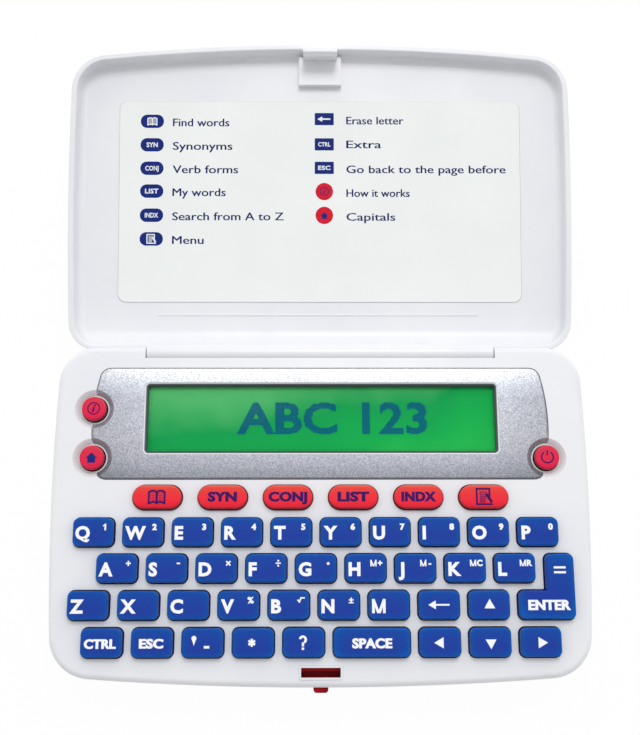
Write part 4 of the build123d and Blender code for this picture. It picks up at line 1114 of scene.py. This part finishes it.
clear_selection()
bpy.ops.mesh.primitive_cube_add(size=1, scale=(87.8 * MM, 0.55 * MM, 0.3 * MM))
rib = soften(bake_place(bpy.context.object), 0.12 * MM)
rib.data.materials.append(casing)
settle([rib], "lid_floor_rib", "lid", LID_FRAME @ Matrix.Translation(RIB_PLACE))
print("rib vertices:", len(rib.data.vertices))

# %% [markdown]
# The long round at the top of the case's front is nearly straight, so its solid has few faces
# and the light on it looks patchy. Smooth shading alone can't mend long, skewed faces, so a thin
# skin with many even ones is laid over it. A short edge is spun about the round's own axis, which
# gives the curved section, and the section is then spun about the far centre of the bowed front.

# %% Skin on the front edge
FRONT_CENTRE = (0, 766.7 * MM, 0)
ROUND_AXIS = (0, -41.784 * MM, 15.4 * MM)
SKIN_RADIUS = 1.62 * MM
SKIN_THICK = 0.3 * MM
SWEEP = math.radians(3.9)
clear_selection()
bpy.ops.mesh.primitive_plane_add(size=1)
skin = bpy.context.object
skin.scale = (1 * MM, SKIN_THICK, 1)
skin.location = (0.5 * MM, ROUND_AXIS[1] - SKIN_RADIUS + SKIN_THICK / 2, ROUND_AXIS[2])
bake_place(skin)
bpy.context.tool_settings.mesh_select_mode = (True, False, False)
bpy.ops.object.mode_set(mode="EDIT")
bpy.ops.mesh.select_all(action="DESELECT")
bpy.ops.object.mode_set(mode="OBJECT")
for vertex in skin.data.vertices:
    vertex.select = vertex.co.x > 0.5 * MM
bpy.ops.object.mode_set(mode="EDIT")
bpy.ops.mesh.delete(type="VERT")
bpy.ops.mesh.select_all(action="SELECT")
bpy.ops.transform.rotate(value=math.radians(4), orient_axis="X", center_override=ROUND_AXIS)
bpy.ops.mesh.spin(steps=14, angle=math.radians(86), center=ROUND_AXIS, axis=(1, 0, 0), use_auto_merge=False)
bpy.ops.mesh.select_all(action="SELECT")
bpy.ops.transform.rotate(value=-SWEEP, orient_axis="Z", center_override=FRONT_CENTRE)
bpy.ops.mesh.spin(steps=60, angle=2 * SWEEP, center=FRONT_CENTRE, axis=(0, 0, 1), use_auto_merge=False)
bpy.ops.mesh.select_all(action="SELECT")
bpy.ops.mesh.normals_make_consistent(inside=False)
bpy.ops.object.mode_set(mode="OBJECT")
bpy.ops.object.shade_smooth_by_angle(angle=SMOOTH_BELOW)
for axis, letter in enumerate("xyz"):
    places = [vertex.co[axis] / MM for vertex in skin.data.vertices]
    print("skin", letter, round(min(places), 2), "to", round(max(places), 2))
skin.data.materials.append(case_plastic)
settle([skin], "front_edge_skin", "base")

# %% [markdown]
# Four rubber pads fill the shallow seats in the underside. One is modelled, as a cylinder whose
# lower face is inset and pushed in a little, which leaves a raised ring to stand on. The four
# in the seats are copies of it.

# %% Feet
FOOT_RADIUS = 3.35 * MM
FOOT_THICK = 0.85 * MM
FOOT_MIDDLE_Z = 0.16 * MM
pad_rubber = patchy("pad_rubber", linear(196, 197, 200), linear(208, 209, 212), 500, 0.75, relief=0.3)
FEET = ((-56.0, -30.0), (56.0, -30.0), (-56.5, 26.0), (56.5, 26.0))
clear_selection()
bpy.ops.mesh.primitive_cylinder_add(vertices=40, radius=FOOT_RADIUS, depth=FOOT_THICK)
pad = bpy.context.object
bpy.context.tool_settings.mesh_select_mode = (False, False, True)
bpy.ops.object.mode_set(mode="EDIT")
bpy.ops.mesh.select_all(action="DESELECT")
bpy.ops.object.mode_set(mode="OBJECT")
for face in pad.data.polygons:
    face.select = face.normal.z < -0.9
bpy.ops.object.mode_set(mode="EDIT")
bpy.ops.mesh.inset(thickness=0.9 * MM, depth=-0.12 * MM)
bpy.ops.object.mode_set(mode="OBJECT")
soften(pad, 0.15 * MM)
pad.data.materials.append(pad_rubber)
for count, (x, y) in enumerate(FEET, 1):
    place = Matrix.Translation((x * MM, y * MM, FOOT_MIDDLE_Z))
    settle([copy_of(pad)], f"foot_pad_{count}", "base", place)
bpy.data.objects.remove(pad)

# %% [markdown]
# ## Floor
# The dictionary lies on a plain pale floor. To the camera the floor is nearly all glow, so the
# ground stays white, and the small rest of it keeps a soft trace of the shadow. To the light it
# is plain paper, so it throws light back at the sides of the case.

# %% Floor
FLOOR_Z = -0.3 * MM
FLOOR_GLOW = 0.96
clear_selection()
bpy.ops.mesh.primitive_plane_add(size=6, location=(0, 0, FLOOR_Z))
floor = bpy.context.object
floor.name = "floor"
paper = new_finish("floor_paper", linear(250, 250, 250), 0.9)
light_path = add_node(paper, "ShaderNodeLightPath")
seen = maths(paper, "MAXIMUM", light_path.outputs["Is Camera Ray"], light_path.outputs["Is Glossy Ray"])
seen = maths(paper, "MAXIMUM", seen, light_path.outputs["Is Transmission Ray"])
glow = add_node(paper, "ShaderNodeEmission")
glow.inputs["Color"].default_value = (1, 1, 1, 1)
glow.inputs["Strength"].default_value = 1.0
shown = add_node(paper, "ShaderNodeMixShader")
join(paper, maths(paper, "MULTIPLY", seen, FLOOR_GLOW), shown.inputs[0])
join(paper, shader_of(paper).outputs[0], shown.inputs[1])
join(paper, glow.outputs[0], shown.inputs[2])
join(paper, shown.outputs[0], paper.node_tree.nodes["Material Output"].inputs["Surface"])
floor.data.materials.append(paper)
print("floor at", round(floor.location.z / MM, 2))

# %% [markdown]
# ## Sky
# The world is bright behind the dictionary and dim in front of it, like a room with one large
# window, so faces that look at the user are darker. Large lamps could do the same, but each would
# show as a bright square in the gloss of the caps. The camera itself sees plain white.

# %% World
world = bpy.data.worlds.new("studio_sky")
bpy.context.scene.world = world
world.use_nodes = True
sky = world.node_tree
background = sky.nodes["Background"]
background.inputs["Color"].default_value = (0.985, 0.99, 1.0, 1)
DIM_IN_FRONT = 0.33
BRIGHT_BEHIND = 1.18
direction = sky.nodes.new("ShaderNodeTexCoord")
towards_rear = sky.nodes.new("ShaderNodeVectorMath")
towards_rear.operation = "DOT_PRODUCT"
towards_rear.inputs[1].default_value = Vector((0.06, 1.0, 0.1)).normalized()
brighter = sky.nodes.new("ShaderNodeMapRange")
brighter.inputs["From Min"].default_value = -1.0
brighter.inputs["From Max"].default_value = 1.0
brighter.inputs["To Min"].default_value = DIM_IN_FRONT
brighter.inputs["To Max"].default_value = BRIGHT_BEHIND
path = sky.nodes.new("ShaderNodeLightPath")
strength = sky.nodes.new("ShaderNodeMix")
strength.inputs[3].default_value = 1.0
for source, target in (
    (direction.outputs["Generated"], towards_rear.inputs[0]),
    (towards_rear.outputs["Value"], brighter.inputs["Value"]),
    (path.outputs["Is Camera Ray"], strength.inputs[0]),
    (brighter.outputs["Result"], strength.inputs[2]),
    (strength.outputs[0], background.inputs["Strength"]),
):
    sky.links.new(source, target)
print("sky:", len(sky.nodes), "nodes")

# %% [markdown]
# ## Lamp
# One small lamp in the bright part of the room lets the keys throw short shadows towards the
# user. The sky does most of the lighting, so the lamp is weak.

# %% Lamp
LAMP_PLACE = Vector((0.05, 0.36, 0.7))
LAMP_AIM = Vector((0, 0.02, 0))
bpy.ops.object.light_add(type="AREA", location=LAMP_PLACE)
lamp = bpy.context.object
lamp.name = "rear_lamp"
lamp.data.size = 0.25
lamp.data.energy = 1.5
lamp.rotation_euler = (LAMP_AIM - LAMP_PLACE).to_track_quat("-Z", "Y").to_euler()
print("lamp:", lamp.name, lamp.data.energy, "W")

# %% [markdown]
# ## Camera
# The camera looks almost straight down from 294 mm, pitched a little towards the hinge, so that
# the open lid is seen in the same view as the keys. Its lens is worked out from the focal length
# in pixels and the height of the picture.

# %% Camera
PITCH = math.radians(13.318)
YAW = math.radians(0.438)
CAMERA_PLACE = Vector((-2.27, -28.02, 294.39)) * MM
SENSOR_WIDTH = 36
PICTURE_HEIGHT = 735
FOCAL_PIXELS = 1082.44
level = Vector((1, 0, 0))
up = Vector((0, math.cos(PITCH), math.sin(PITCH)))
down = Vector((0, math.sin(PITCH), -math.cos(PITCH)))
ahead = down * math.cos(YAW) + level * math.sin(YAW)
right = level * math.cos(YAW) - down * math.sin(YAW)
bpy.ops.object.camera_add()
camera = bpy.context.object
camera.name = "camera"
turned = Matrix((right, up, -ahead)).transposed().to_4x4()
camera.matrix_world = Matrix.Translation(CAMERA_PLACE) @ turned
camera.data.sensor_width = SENSOR_WIDTH
camera.data.lens = FOCAL_PIXELS * SENSOR_WIDTH / PICTURE_HEIGHT
camera.data.clip_start = 0.01
bpy.context.scene.camera = camera
bpy.context.scene.view_settings.view_transform = "Standard"
print("camera", round(camera.data.lens, 2), "mm lens")
